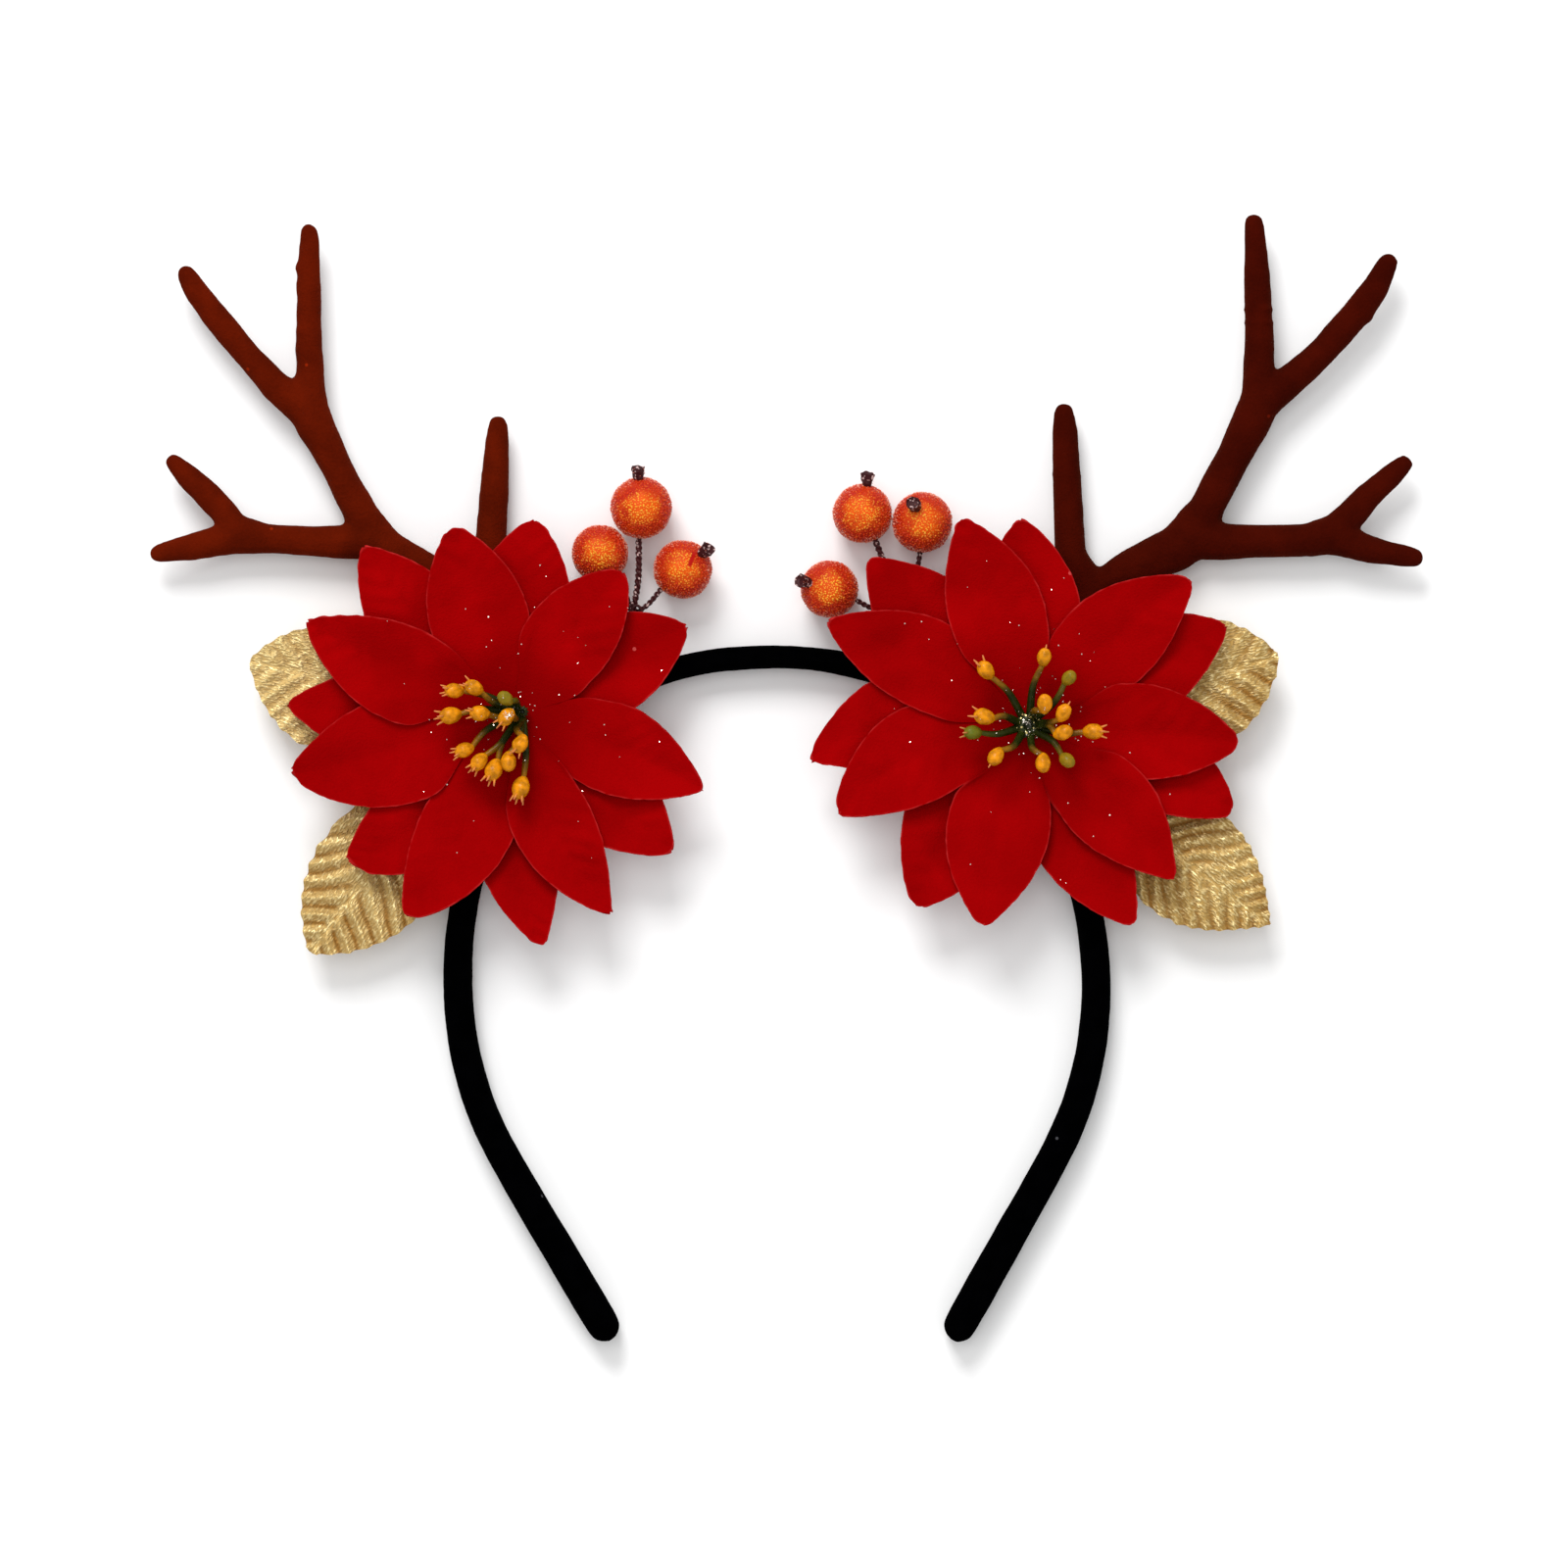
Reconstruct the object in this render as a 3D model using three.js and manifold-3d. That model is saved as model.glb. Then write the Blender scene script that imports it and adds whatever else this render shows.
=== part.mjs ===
// A flower headband that lies on its back: a velvet hoop with two flocked antlers, two velvet flowers,
// gold leaves and frosted berries. Millimetres, +X along the wearer's width, +Y from the ends of the
// hoop towards the crown, +Z from the resting face to the flowers. The origin is the middle of the
// crown's resting face.
import * as THREE from "three";
import { mergeVertices } from "three/addons/utils/BufferGeometryUtils.js";
import Module from "manifold-3d";

const wasm = await Module();
wasm.setup();

const GAP = 0.3;
const RADIANS = Math.PI / 180;

// The hoop
const BAND_HALF_WIDTH = 65;
const BAND_RISE = 67;
const BAND_LEFT_SQUARENESS = 2.2;
const BAND_RIGHT_SQUARENESS = 2.05;
const BAND_TURN_RADIUS = 72;
const BAND_TURN = 30;
const BAND_LEG = 38;
const BAND_DEPTH = 8;
const BAND_CROWN_WALL = 4.8;
const BAND_SIDE_WALL = 6;
const BAND_END_WALL = 7;
const BAND_CORNER = 1.5;
const BAND_SWAY = 1.3;
const BAND_OVAL_STEPS = 24;
const BAND_TURN_STEPS = 6;
const BAND_END_REACHES = [0.5, 0.8, 0.96];
const SEAT_ANGLE = 45;

// The antlers
const ANTLER_SPAN = 67;
const ANTLER_RISE = 76;
const ANTLER_HALF_BEAM = 4;
const ANTLER_LIFT = 0.5;
const ANTLER_RAKE = 3;
const ANTLER_STEM = 30;
const ANTLER_FOOT_HALF = 3.4;
const ANTLER_SIDES = 8;
const ANTLER_END_REACHES = [0.5, 0.87];

// The flowers
const FRONT_PETAL_LENGTH = 44;
const BACK_PETAL_LENGTH = 45;
const PETAL_WIDTH = 21.4;
const PETAL_WALL = 1;
const PETAL_SLIT = 0.5;
const PETAL_GROOVE = 0.5;
const FRONT_PETAL_LIFT = 5.2;
const BACK_PETAL_LIFT = 3;
const FRONT_PETAL_CUP = 1.6;
const BACK_PETAL_CUP = 1.2;
const PETAL_RISE_POWER = 1.25;
const PETAL_WAIST_POWER = 1.06;
const PETAL_SIDE_POWER = 0.86;
const PETAL_SHAPED_FROM = 0.5;
const PETAL_STATIONS = [0, 0.2, 0.42, 0.66, 0.87, 0.985];
const PETAL_COLUMNS = [-1, -0.5, 0, 0.5, 1];
const HUB_RADIUS = 8.5;
const HUB_COVER = 0.25;
const HUB_SIDES = 20;
const POST_RADIUS = 8;
const POST_SIDES = 16;
const POST_HEADROOM = 0.6;
const FLOWER_OFFSET = 8;

// The stamens
const STAMEN_REACH = 15;
const STAMEN_RISE = 9;
const STALK_BOW = 0.12;
const STALK_RADIUS = 0.6;
const BUD_RADIUS = 1.8;
const BUD_STRETCH = 1.2;
const BUD_SIDES = 6;
const BUD_RINGS = 3;
const STAMEN_HUB_RADIUS = 2.8;
const STAMEN_HUB_HEIGHT = 2;
const STAMEN_HUB_SIDES = 10;

// The gold leaves
const LEAF_LENGTH = 46;
const LEAF_WIDTH = 26.5;
const LEAF_WALL = 1;
const LEAF_TURN_ROOM = 0.8;
const LEAF_CRIMP = 0.5;
const LEAF_NOTCH = 0.3;
const LEAF_RIB_SLOPE = 0.75;
const LEAF_RIBS = 9;
const LEAF_WAIST_POWER = 1.5;
const LEAF_SIDE_POWER = 0.75;
const LEAF_SPINE_SHARE = 0.975;
const LEAF_SPINE_POWER = 0.85;
const LEAF_EDGE_SHARE = 0.995;
const LEAF_EDGE_PASSES = 12;
const LEAF_TIP_HALF = 0.6;
const LEAF_CRIMPED_FROM = 0.4;

// The berries
const BERRY_RADIUS = 6;
const BERRY_SIDES = 10;
const BERRY_LIFT = 0.8;
const BERRY_SPRAY = 50;
const NUB_RADIUS = 1.3;
const NUB_LENGTH = 2;
const WIRE_RADIUS = 0.6;
const WIRE_SIDES = 4;

// One antler, its own origin at the lowest fork. Columns: out, share of the span; up, share of the rise;
// thick, share of the beam's half thickness.
const ANTLER_BEAM_ROWS = [
  { out: 0.02, up: 0.0, thick: 1.05 },
  { out: 0.17, up: 0.063, thick: 1.0 },
  { out: 0.27, up: 0.105, thick: 1.12 },
  { out: 0.325, up: 0.15, thick: 1.2 },
  { out: 0.362, up: 0.221, thick: 0.92 },
  { out: 0.438, up: 0.353, thick: 0.88 },
  { out: 0.49, up: 0.445, thick: 0.98 },
  { out: 0.525, up: 0.52, thick: 1.08 },
  { out: 0.515, up: 0.597, thick: 0.8 },
  { out: 0.515, up: 0.687, thick: 0.75 },
  { out: 0.507, up: 0.834, thick: 0.65 },
  { out: 0.5, up: 0.972, thick: 0.48 },
];
const ANTLER_OUTER_ROWS = [
  { out: 0.53, up: 0.505, thick: 0.95 },
  { out: 0.628, up: 0.574, thick: 0.8 },
  { out: 0.703, up: 0.637, thick: 0.71 },
  { out: 0.821, up: 0.755, thick: 0.69 },
  { out: 0.865, up: 0.808, thick: 0.62 },
  { out: 0.901, up: 0.866, thick: 0.44 },
];
const ANTLER_LOWER_ROWS = [
  { out: 0.33, up: 0.14, thick: 1.05 },
  { out: 0.41, up: 0.129, thick: 0.94 },
  { out: 0.488, up: 0.129, thick: 0.85 },
  { out: 0.659, up: 0.132, thick: 0.81 },
  { out: 0.745, up: 0.14, thick: 1.0 },
  { out: 0.81, up: 0.116, thick: 0.74 },
  { out: 0.871, up: 0.103, thick: 0.66 },
  { out: 0.982, up: 0.083, thick: 0.42 },
];
const ANTLER_UPPER_ROWS = [
  { out: 0.74, up: 0.135, thick: 0.85 },
  { out: 0.8, up: 0.2, thick: 0.7 },
  { out: 0.844, up: 0.245, thick: 0.64 },
  { out: 0.912, up: 0.3, thick: 0.56 },
  { out: 0.95, up: 0.331, thick: 0.4 },
];
const ANTLER_FRONT_ROWS = [
  { out: 0.01, up: 0.0, thick: 1.0 },
  { out: -0.053, up: 0.095, thick: 0.88 },
  { out: -0.059, up: 0.203, thick: 0.8 },
  { out: -0.065, up: 0.303, thick: 0.74 },
  { out: -0.071, up: 0.418, thick: 0.65 },
  { out: -0.074, up: 0.468, thick: 0.5 },
];

// The petals, counted round each flower. Columns: angle of the tip, degrees from +X; long, share of the
// petal's length; left and right of the line to the tip, shares of half the petal's width; lift, share of
// the layer's lift; roll, degrees about the petal's own line.
const PETALS = {
  left: {
    front: [
      { angle: 107, long: 0.9, left: 0.98, right: 0.9, lift: 1.0, roll: 3 },
      { angle: 52, long: 0.83, left: 0.88, right: 0.82, lift: 1.1, roll: -4 },
      { angle: -21, long: 0.94, left: 0.97, right: 0.74, lift: 0.9, roll: 3 },
      { angle: -63, long: 1.01, left: 0.55, right: 1.0, lift: 0.95, roll: -2 },
      { angle: 242, long: 1.03, left: 1.16, right: 0.63, lift: 1.05, roll: 4 },
      { angle: 194, long: 1.03, left: 1.18, right: 0.91, lift: 0.9, roll: -3 },
      { angle: 155, long: 1.02, left: 1.06, right: 0.75, lift: 1.1, roll: 2 },
    ],
    back: [
      { angle: 131, long: 1.0, left: 1.1, right: 0.78, lift: 1.0, roll: 0 },
      { angle: 83, long: 0.88, left: 1.06, right: 0.9, lift: 1.0, roll: 2 },
      { angle: 27, long: 0.88, left: 1.0, right: 0.94, lift: 0.9, roll: -2 },
      { angle: -40, long: 0.94, left: 0.93, right: 0.93, lift: 0.9, roll: 1 },
      { angle: -82, long: 1.04, left: 0.55, right: 1.03, lift: 0.8, roll: -2 },
      { angle: 221, long: 0.97, left: 1.35, right: 0.56, lift: 0.9, roll: 2 },
      { angle: 177, long: 1.0, left: 0.97, right: 0.78, lift: 0.9, roll: -1 },
    ],
  },
  right: {
    front: [
      { angle: 108, long: 0.98, left: 0.82, right: 1.0, lift: 1.1, roll: -3 },
      { angle: 41, long: 0.99, left: 1.05, right: 0.78, lift: 0.95, roll: 3 },
      { angle: -5, long: 0.97, left: 0.93, right: 0.88, lift: 0.9, roll: -3 },
      { angle: -47, long: 1.0, left: 0.93, right: 0.77, lift: 1.0, roll: 3 },
      { angle: 258, long: 0.95, left: 0.85, right: 1.1, lift: 1.05, roll: -2 },
      { angle: 206, long: 0.96, left: 0.55, right: 1.28, lift: 1.0, roll: 4 },
      { angle: 153, long: 1.02, left: 0.73, right: 0.98, lift: 1.1, roll: -3 },
    ],
    back: [
      { angle: 134, long: 1.02, left: 1.04, right: 0.95, lift: 1.0, roll: 2 },
      { angle: 92, long: 0.91, left: 0.86, right: 1.09, lift: 1.0, roll: -1 },
      { angle: 26, long: 0.99, left: 1.0, right: 0.98, lift: 0.9, roll: 2 },
      { angle: -24, long: 1.0, left: 1.15, right: 0.62, lift: 0.8, roll: -2 },
      { angle: -62, long: 1.02, left: 0.69, right: 1.02, lift: 0.8, roll: 1 },
      { angle: 239, long: 0.96, left: 0.91, right: 1.19, lift: 0.9, roll: 1 },
      { angle: 190, long: 0.98, left: 0.48, right: 1.4, lift: 1.0, roll: -2 },
    ],
  },
};

// The stamens. Columns: across and up, shares of the spray's reach; rise, share of its rise; size, share
// of the bud's radius.
const STAMENS = {
  left: [
    { across: -0.91, up: 0.28, rise: 0.6, size: 1.0 },
    { across: -0.64, up: 0.32, rise: 0.8, size: 1.0 },
    { across: -0.96, up: -0.05, rise: 0.6, size: 1.1 },
    { across: -0.56, up: -0.03, rise: 0.85, size: 1.0 },
    { across: -0.21, up: 0.17, rise: 0.95, size: 0.9 },
    { across: -0.2, up: -0.08, rise: 1.0, size: 1.0 },
    { across: -0.77, up: -0.52, rise: 0.6, size: 1.0 },
    { across: -0.57, up: -0.68, rise: 0.65, size: 1.0 },
    { across: -0.37, up: -0.79, rise: 0.6, size: 1.15 },
    { across: -0.17, up: -0.68, rise: 0.75, size: 1.0 },
    { across: -0.01, up: -0.44, rise: 0.9, size: 1.0 },
    { across: -0.01, up: -1.03, rise: 0.5, size: 1.15 },
  ],
  right: [
    { across: -0.59, up: 0.75, rise: 0.6, size: 1.1 },
    { across: 0.2, up: 0.92, rise: 0.6, size: 1.0 },
    { across: 0.53, up: 0.64, rise: 0.6, size: 0.95 },
    { across: 0.2, up: 0.29, rise: 1.0, size: 1.0 },
    { across: 0.45, up: 0.17, rise: 0.9, size: 1.0 },
    { across: 0.45, up: -0.09, rise: 0.85, size: 1.0 },
    { across: 0.86, up: -0.08, rise: 0.6, size: 1.1 },
    { across: 0.51, up: -0.47, rise: 0.7, size: 0.95 },
    { across: 0.18, up: -0.51, rise: 0.8, size: 1.0 },
    { across: -0.45, up: -0.42, rise: 0.75, size: 1.05 },
    { across: -0.61, up: 0.12, rise: 0.75, size: 1.1 },
    { across: -0.76, up: -0.09, rise: 0.6, size: 1.0 },
  ],
};

// Where each side's pieces stand. flower: out and up from the hoop, shares of the offset; hub: the spray's
// middle from the flower's, shares of its hub; fork: from the antler's foot, shares of its stem; leaves:
// angle of the foot and bend from there, in degrees; long, share of the length; left and right, shares of
// half the width; spray: the first berry, towards the crown and up from the flower, and joint, where its
// wires part, shares of the spray; berries: from the first one in berry radii; size, share of the radius;
// nub, degrees in the resting plane; raise, degrees that the nub points up.
const SIDES = {
  left: {
    name: "left",
    sign: -1,
    squareness: BAND_LEFT_SQUARENESS,
    flower: { out: 0.76, up: 0.75 },
    hub: { across: 0.71, up: 0.57 },
    fork: { out: 0.34, up: 0.87 },
    antlerSize: 0.965,
    antlerTurn: 1,
    leaves: [
      { angle: 169, bend: -1, long: 1.0, left: 1.1, right: 0.8 },
      { angle: 200, bend: 34, long: 1.21, left: 1.0, right: 1.0 },
    ],
    spray: { out: 0.524, up: 0.846 },
    joint: { out: 0.5, up: 0.43 },
    berries: [
      { out: 0, up: 0, size: 1.05, nub: 95, raise: 20 },
      { out: -1.4, up: -1.54, size: 0.97, nub: -110, raise: 0 },
      { out: 1.48, up: -2.02, size: 1.0, nub: 38, raise: 35 },
    ],
  },
  right: {
    name: "right",
    sign: 1,
    squareness: BAND_RIGHT_SQUARENESS,
    flower: { out: 0.56, up: 0.71 },
    hub: { across: 0, up: -0.14 },
    fork: { out: 0.42, up: 0.94 },
    antlerSize: 1,
    antlerTurn: 0,
    leaves: [
      { angle: 14, bend: 1, long: 0.97, left: 0.9, right: 1.05 },
      { angle: -57, bend: 20, long: 1.22, left: 1.0, right: 1.0 },
    ],
    spray: { out: 0.664, up: 0.852 },
    joint: { out: 0.45, up: 0.4 },
    berries: [
      { out: 0, up: 0, size: 1.01, nub: 82, raise: 15 },
      { out: -2.02, up: -0.3, size: 1.03, nub: 118, raise: 60 },
      { out: 1.12, up: -2.56, size: 0.98, nub: 165, raise: 40 },
    ],
  },
};

const COLOURS = {
  velvet: { color: 0x0a0a0c, roughness: 0.95, metalness: 0 },
  flock: { color: 0x5e1f0c, roughness: 0.9, metalness: 0 },
  petal: { color: 0xb00508, roughness: 0.9, metalness: 0 },
  gold: { color: 0xc8a55a, roughness: 0.4, metalness: 0.6 },
  bud: { color: 0xe0a018, roughness: 0.4, metalness: 0 },
  berry: { color: 0xdc7a35, roughness: 0.6, metalness: 0 },
  wire: { color: 0x3a2420, roughness: 0.7, metalness: 0 },
  post: { color: 0x3c5a22, roughness: 0.6, metalness: 0 },
};

const ANTLER_DEPTH = BAND_DEPTH - 2 * ANTLER_LIFT;
const HUB_WALL = PETAL_WALL + 2 * HUB_COVER;
const POST_HEIGHT = LEAF_WALL + 2 * LEAF_CRIMP + POST_HEADROOM;
const POST_FOOT = BAND_DEPTH + GAP;
const BACK_HUB = POST_FOOT + POST_HEIGHT + GAP;
const FRONT_HUB = BACK_HUB + HUB_WALL + GAP;
const STAMEN_FOOT = FRONT_HUB + HUB_WALL + GAP;
const LEAF_FOOT = POST_FOOT + LEAF_WALL + LEAF_CRIMP;
const WIRE_LEVEL = POST_FOOT + POST_HEIGHT / 2;

// Solids from plain geometry, and back
function solidOf(geometry) {
  const bare = new THREE.BufferGeometry();
  bare.setAttribute("position", geometry.getAttribute("position"));
  bare.setIndex(geometry.getIndex());
  const merged = mergeVertices(bare, 1e-4);
  const vertProperties = new Float32Array(merged.getAttribute("position").array);
  const triVerts = new Uint32Array(merged.getIndex().array);
  return new wasm.Manifold(new wasm.Mesh({ numProp: 3, vertProperties, triVerts }));
}

function geometryOf(solid) {
  const mesh = solid.getMesh();
  const geometry = new THREE.BufferGeometry();
  geometry.setAttribute("position", new THREE.BufferAttribute(mesh.vertProperties, 3));
  geometry.setIndex(new THREE.BufferAttribute(mesh.triVerts, 1));
  return geometry;
}

function joined(geometries) {
  return geometryOf(geometries.map(solidOf).reduce((whole, next) => whole.add(next)));
}

// A closed skin over equal rings of points, with a flat end on each
function loft(rings) {
  const count = rings[0].length;
  const points = rings.flat();
  const faces = [];
  for (let i = 0; i < rings.length - 1; i += 1) {
    for (let j = 0; j < count; j += 1) {
      const here = i * count + j;
      const next = i * count + ((j + 1) % count);
      faces.push(here, next, next + count, here, next + count, here + count);
    }
  }
  const last = (rings.length - 1) * count;
  for (let j = 1; j < count - 1; j += 1) {
    faces.push(0, j + 1, j, last, last + j, last + j + 1);
  }
  const geometry = new THREE.BufferGeometry().setFromPoints(points);
  geometry.setIndex(faces);
  return geometry;
}

// A round bar along points that each have a half thickness, with round ends. It lies in the resting plane,
// so that its section keeps one axis upright, no thicker than the given depth.
function bar(points, halves, sides, depth) {
  const rings = [];
  const addRing = (centre, across, upright, half, share) => {
    const tall = Math.min(half, depth / 2) * share;
    rings.push(
      Array.from({ length: sides }, (_, k) => {
        const angle = (2 * Math.PI * k) / sides;
        const sideways = across.clone().multiplyScalar(half * share * Math.cos(angle));
        return centre.clone().add(sideways).addScaledVector(upright, tall * Math.sin(angle));
      }),
    );
  };
  const lastIndex = points.length - 1;
  points.forEach((point, i) => {
    const before = points[Math.max(i - 1, 0)];
    const after = points[Math.min(i + 1, lastIndex)];
    const along = after.clone().sub(before).normalize();
    const across = new THREE.Vector3(-along.y, along.x, 0).normalize();
    const upright = new THREE.Vector3().crossVectors(along, across);
    const half = halves[i];
    if (i === 0) {
      [...ANTLER_END_REACHES].reverse().forEach((reach) => {
        const centre = point.clone().addScaledVector(along, -half * reach);
        addRing(centre, across, upright, half, Math.sqrt(1 - reach * reach));
      });
    }
    addRing(point, across, upright, half, 1);
    if (i === lastIndex) {
      ANTLER_END_REACHES.forEach((reach) => {
        const centre = point.clone().addScaledVector(along, half * reach);
        addRing(centre, across, upright, half, Math.sqrt(1 - reach * reach));
      });
    }
  });
  return loft(rings);
}

// A sheet of even wall over a grid of upper points
function sheet(grid, wall) {
  const columns = grid[0].length;
  const count = grid.length * columns;
  const upper = grid.flat();
  const lower = upper.map((point) => point.clone().setZ(point.z - wall));
  const faces = [];
  const quad = (a, b, c, d) => faces.push(a, b, c, a, c, d);
  for (let i = 0; i < grid.length - 1; i += 1) {
    for (let j = 0; j < columns - 1; j += 1) {
      const a = i * columns + j;
      quad(a, a + columns, a + columns + 1, a + 1);
      quad(count + a, count + a + 1, count + a + columns + 1, count + a + columns);
    }
  }
  const rim = [];
  for (let j = 0; j < columns - 1; j += 1) rim.push(j);
  for (let i = 0; i < grid.length - 1; i += 1) rim.push(i * columns + columns - 1);
  for (let j = columns - 1; j > 0; j -= 1) rim.push((grid.length - 1) * columns + j);
  for (let i = grid.length - 1; i > 0; i -= 1) rim.push(i * columns);
  rim.forEach((a, k) => {
    const b = rim[(k + 1) % rim.length];
    quad(a, b, count + b, count + a);
  });
  const geometry = new THREE.BufferGeometry().setFromPoints([...upper, ...lower]);
  geometry.setIndex(faces);
  return geometry;
}

// The hoop's middle line down one side: a quarter of a squarish oval, an arc, a straight leg
function hoopPoint(angle, squareness) {
  const power = 2 / squareness;
  const x = BAND_HALF_WIDTH * Math.cos(angle * RADIANS) ** power;
  const y = BAND_RISE * Math.sin(angle * RADIANS) ** power - BAND_RISE;
  return new THREE.Vector2(x, y);
}

function hoopOutward(angle, squareness) {
  const step = 0.5;
  const along = hoopPoint(angle + step, squareness).sub(hoopPoint(angle - step, squareness));
  return new THREE.Vector2(along.y, -along.x).normalize();
}

function hoopHalf(squareness) {
  const stations = [];
  for (let i = 0; i <= BAND_OVAL_STEPS; i += 1) {
    const share = i / BAND_OVAL_STEPS;
    const point = hoopPoint(Math.max(90 * (1 - share), 1e-6), squareness);
    const wall = THREE.MathUtils.lerp(BAND_CROWN_WALL, BAND_SIDE_WALL, share);
    stations.push({ point, wall });
  }
  const middle = new THREE.Vector2(BAND_HALF_WIDTH - BAND_TURN_RADIUS, -BAND_RISE);
  for (let i = 1; i <= BAND_TURN_STEPS; i += 1) {
    const angle = (-BAND_TURN * RADIANS * i) / BAND_TURN_STEPS;
    const spoke = new THREE.Vector2(Math.cos(angle), Math.sin(angle)).multiplyScalar(BAND_TURN_RADIUS);
    const wall = THREE.MathUtils.lerp(BAND_SIDE_WALL, BAND_END_WALL, (0.5 * i) / BAND_TURN_STEPS);
    stations.push({ point: spoke.add(middle), wall });
  }
  const down = new THREE.Vector2(-Math.sin(BAND_TURN * RADIANS), -Math.cos(BAND_TURN * RADIANS));
  const knee = stations.at(-1).point;
  [0.5, 1].forEach((share) => {
    const point = knee.clone().addScaledVector(down, BAND_LEG * share);
    const wall = THREE.MathUtils.lerp(BAND_SIDE_WALL, BAND_END_WALL, 0.5 + 0.5 * share);
    stations.push({ point, wall });
  });
  BAND_END_REACHES.forEach((reach) => {
    const point = knee.clone().addScaledVector(down, BAND_LEG + (reach * BAND_END_WALL) / 2);
    stations.push({ point, wall: BAND_END_WALL * Math.sqrt(1 - reach * reach) });
  });
  return stations;
}

function swayed(point) {
  const length = BAND_RISE + BAND_TURN_RADIUS * Math.sin(BAND_TURN * RADIANS) + BAND_LEG;
  const share = Math.max(-point.y / length, 0);
  return new THREE.Vector2(point.x + BAND_SWAY * share * share, point.y);
}

function bandGeometry() {
  const right = hoopHalf(BAND_RIGHT_SQUARENESS);
  const mirrored = ({ point, wall }) => ({ point: new THREE.Vector2(-point.x, point.y), wall });
  const left = hoopHalf(BAND_LEFT_SQUARENESS).slice(1).reverse().map(mirrored);
  const stations = [...left, ...right];
  const centres = stations.map(({ point }) => swayed(point));
  const rings = stations.map(({ wall }, i) => {
    const before = centres[Math.max(i - 1, 0)];
    const after = centres[Math.min(i + 1, centres.length - 1)];
    const along = after.clone().sub(before).normalize();
    const outward = new THREE.Vector2(-along.y, along.x);
    const corner = Math.min(BAND_CORNER, wall / 2 - GAP);
    const ring = [];
    [
      [1, 1],
      [-1, 1],
      [-1, -1],
      [1, -1],
    ].forEach(([side, face], quarter) => {
      const offset = side * (wall / 2 - corner);
      const level = BAND_DEPTH / 2 + face * (BAND_DEPTH / 2 - corner);
      [0, 90].forEach((turn) => {
        const angle = (quarter * 90 + turn) * RADIANS;
        const flat = centres[i].clone().addScaledVector(outward, offset + corner * Math.cos(angle));
        ring.push(new THREE.Vector3(flat.x, flat.y, level + corner * Math.sin(angle)));
      });
    });
    return ring;
  });
  return loft(rings);
}

// Where each side's pieces meet the hoop
function seatOf(side, outward) {
  const away = hoopOutward(SEAT_ANGLE, side.squareness);
  const point = hoopPoint(SEAT_ANGLE, side.squareness).addScaledVector(away, outward);
  const flat = swayed(new THREE.Vector2(side.sign * point.x, point.y));
  return new THREE.Vector3(flat.x, flat.y, 0);
}

function flowerCentre(side) {
  const offset = new THREE.Vector3(side.sign * side.flower.out, side.flower.up, 0);
  return seatOf(side, 0).addScaledVector(offset, FLOWER_OFFSET);
}

function antlerGeometry(side) {
  const wall = THREE.MathUtils.lerp(BAND_CROWN_WALL, BAND_SIDE_WALL, 1 - SEAT_ANGLE / 90);
  const seat = seatOf(side, wall / 2 + GAP + ANTLER_FOOT_HALF);
  const stem = new THREE.Vector3(side.sign * side.fork.out, side.fork.up, 0);
  const fork = seat.clone().addScaledVector(stem, ANTLER_STEM);
  const level = BAND_DEPTH / 2;
  const turn = side.sign * side.antlerTurn * RADIANS;
  const place = (row) => {
    const flat = new THREE.Vector3(side.sign * row.out * ANTLER_SPAN, row.up * ANTLER_RISE, 0);
    flat.multiplyScalar(side.antlerSize).applyAxisAngle(new THREE.Vector3(0, 0, 1), turn);
    const rake = (ANTLER_RAKE * flat.length()) / ANTLER_RISE;
    return flat.add(fork).setZ(level + rake);
  };
  const branch = (rows, lead) => {
    const points = [...lead.map(({ point }) => point), ...rows.map(place)];
    const halves = [...lead.map(({ half }) => half), ...rows.map((row) => row.thick * ANTLER_HALF_BEAM)];
    return bar(points, halves, ANTLER_SIDES, ANTLER_DEPTH);
  };
  const foot = { point: seat.clone().setZ(level), half: ANTLER_FOOT_HALF };
  return joined([
    branch(ANTLER_BEAM_ROWS, [foot]),
    branch(ANTLER_OUTER_ROWS, []),
    branch(ANTLER_LOWER_ROWS, []),
    branch(ANTLER_UPPER_ROWS, []),
    branch(ANTLER_FRONT_ROWS, []),
  ]);
}

// The petal's half width along its length, as a share of the widest
function petalWidth(share) {
  return Math.sin(Math.PI * share ** PETAL_WAIST_POWER) ** PETAL_SIDE_POWER;
}

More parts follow.
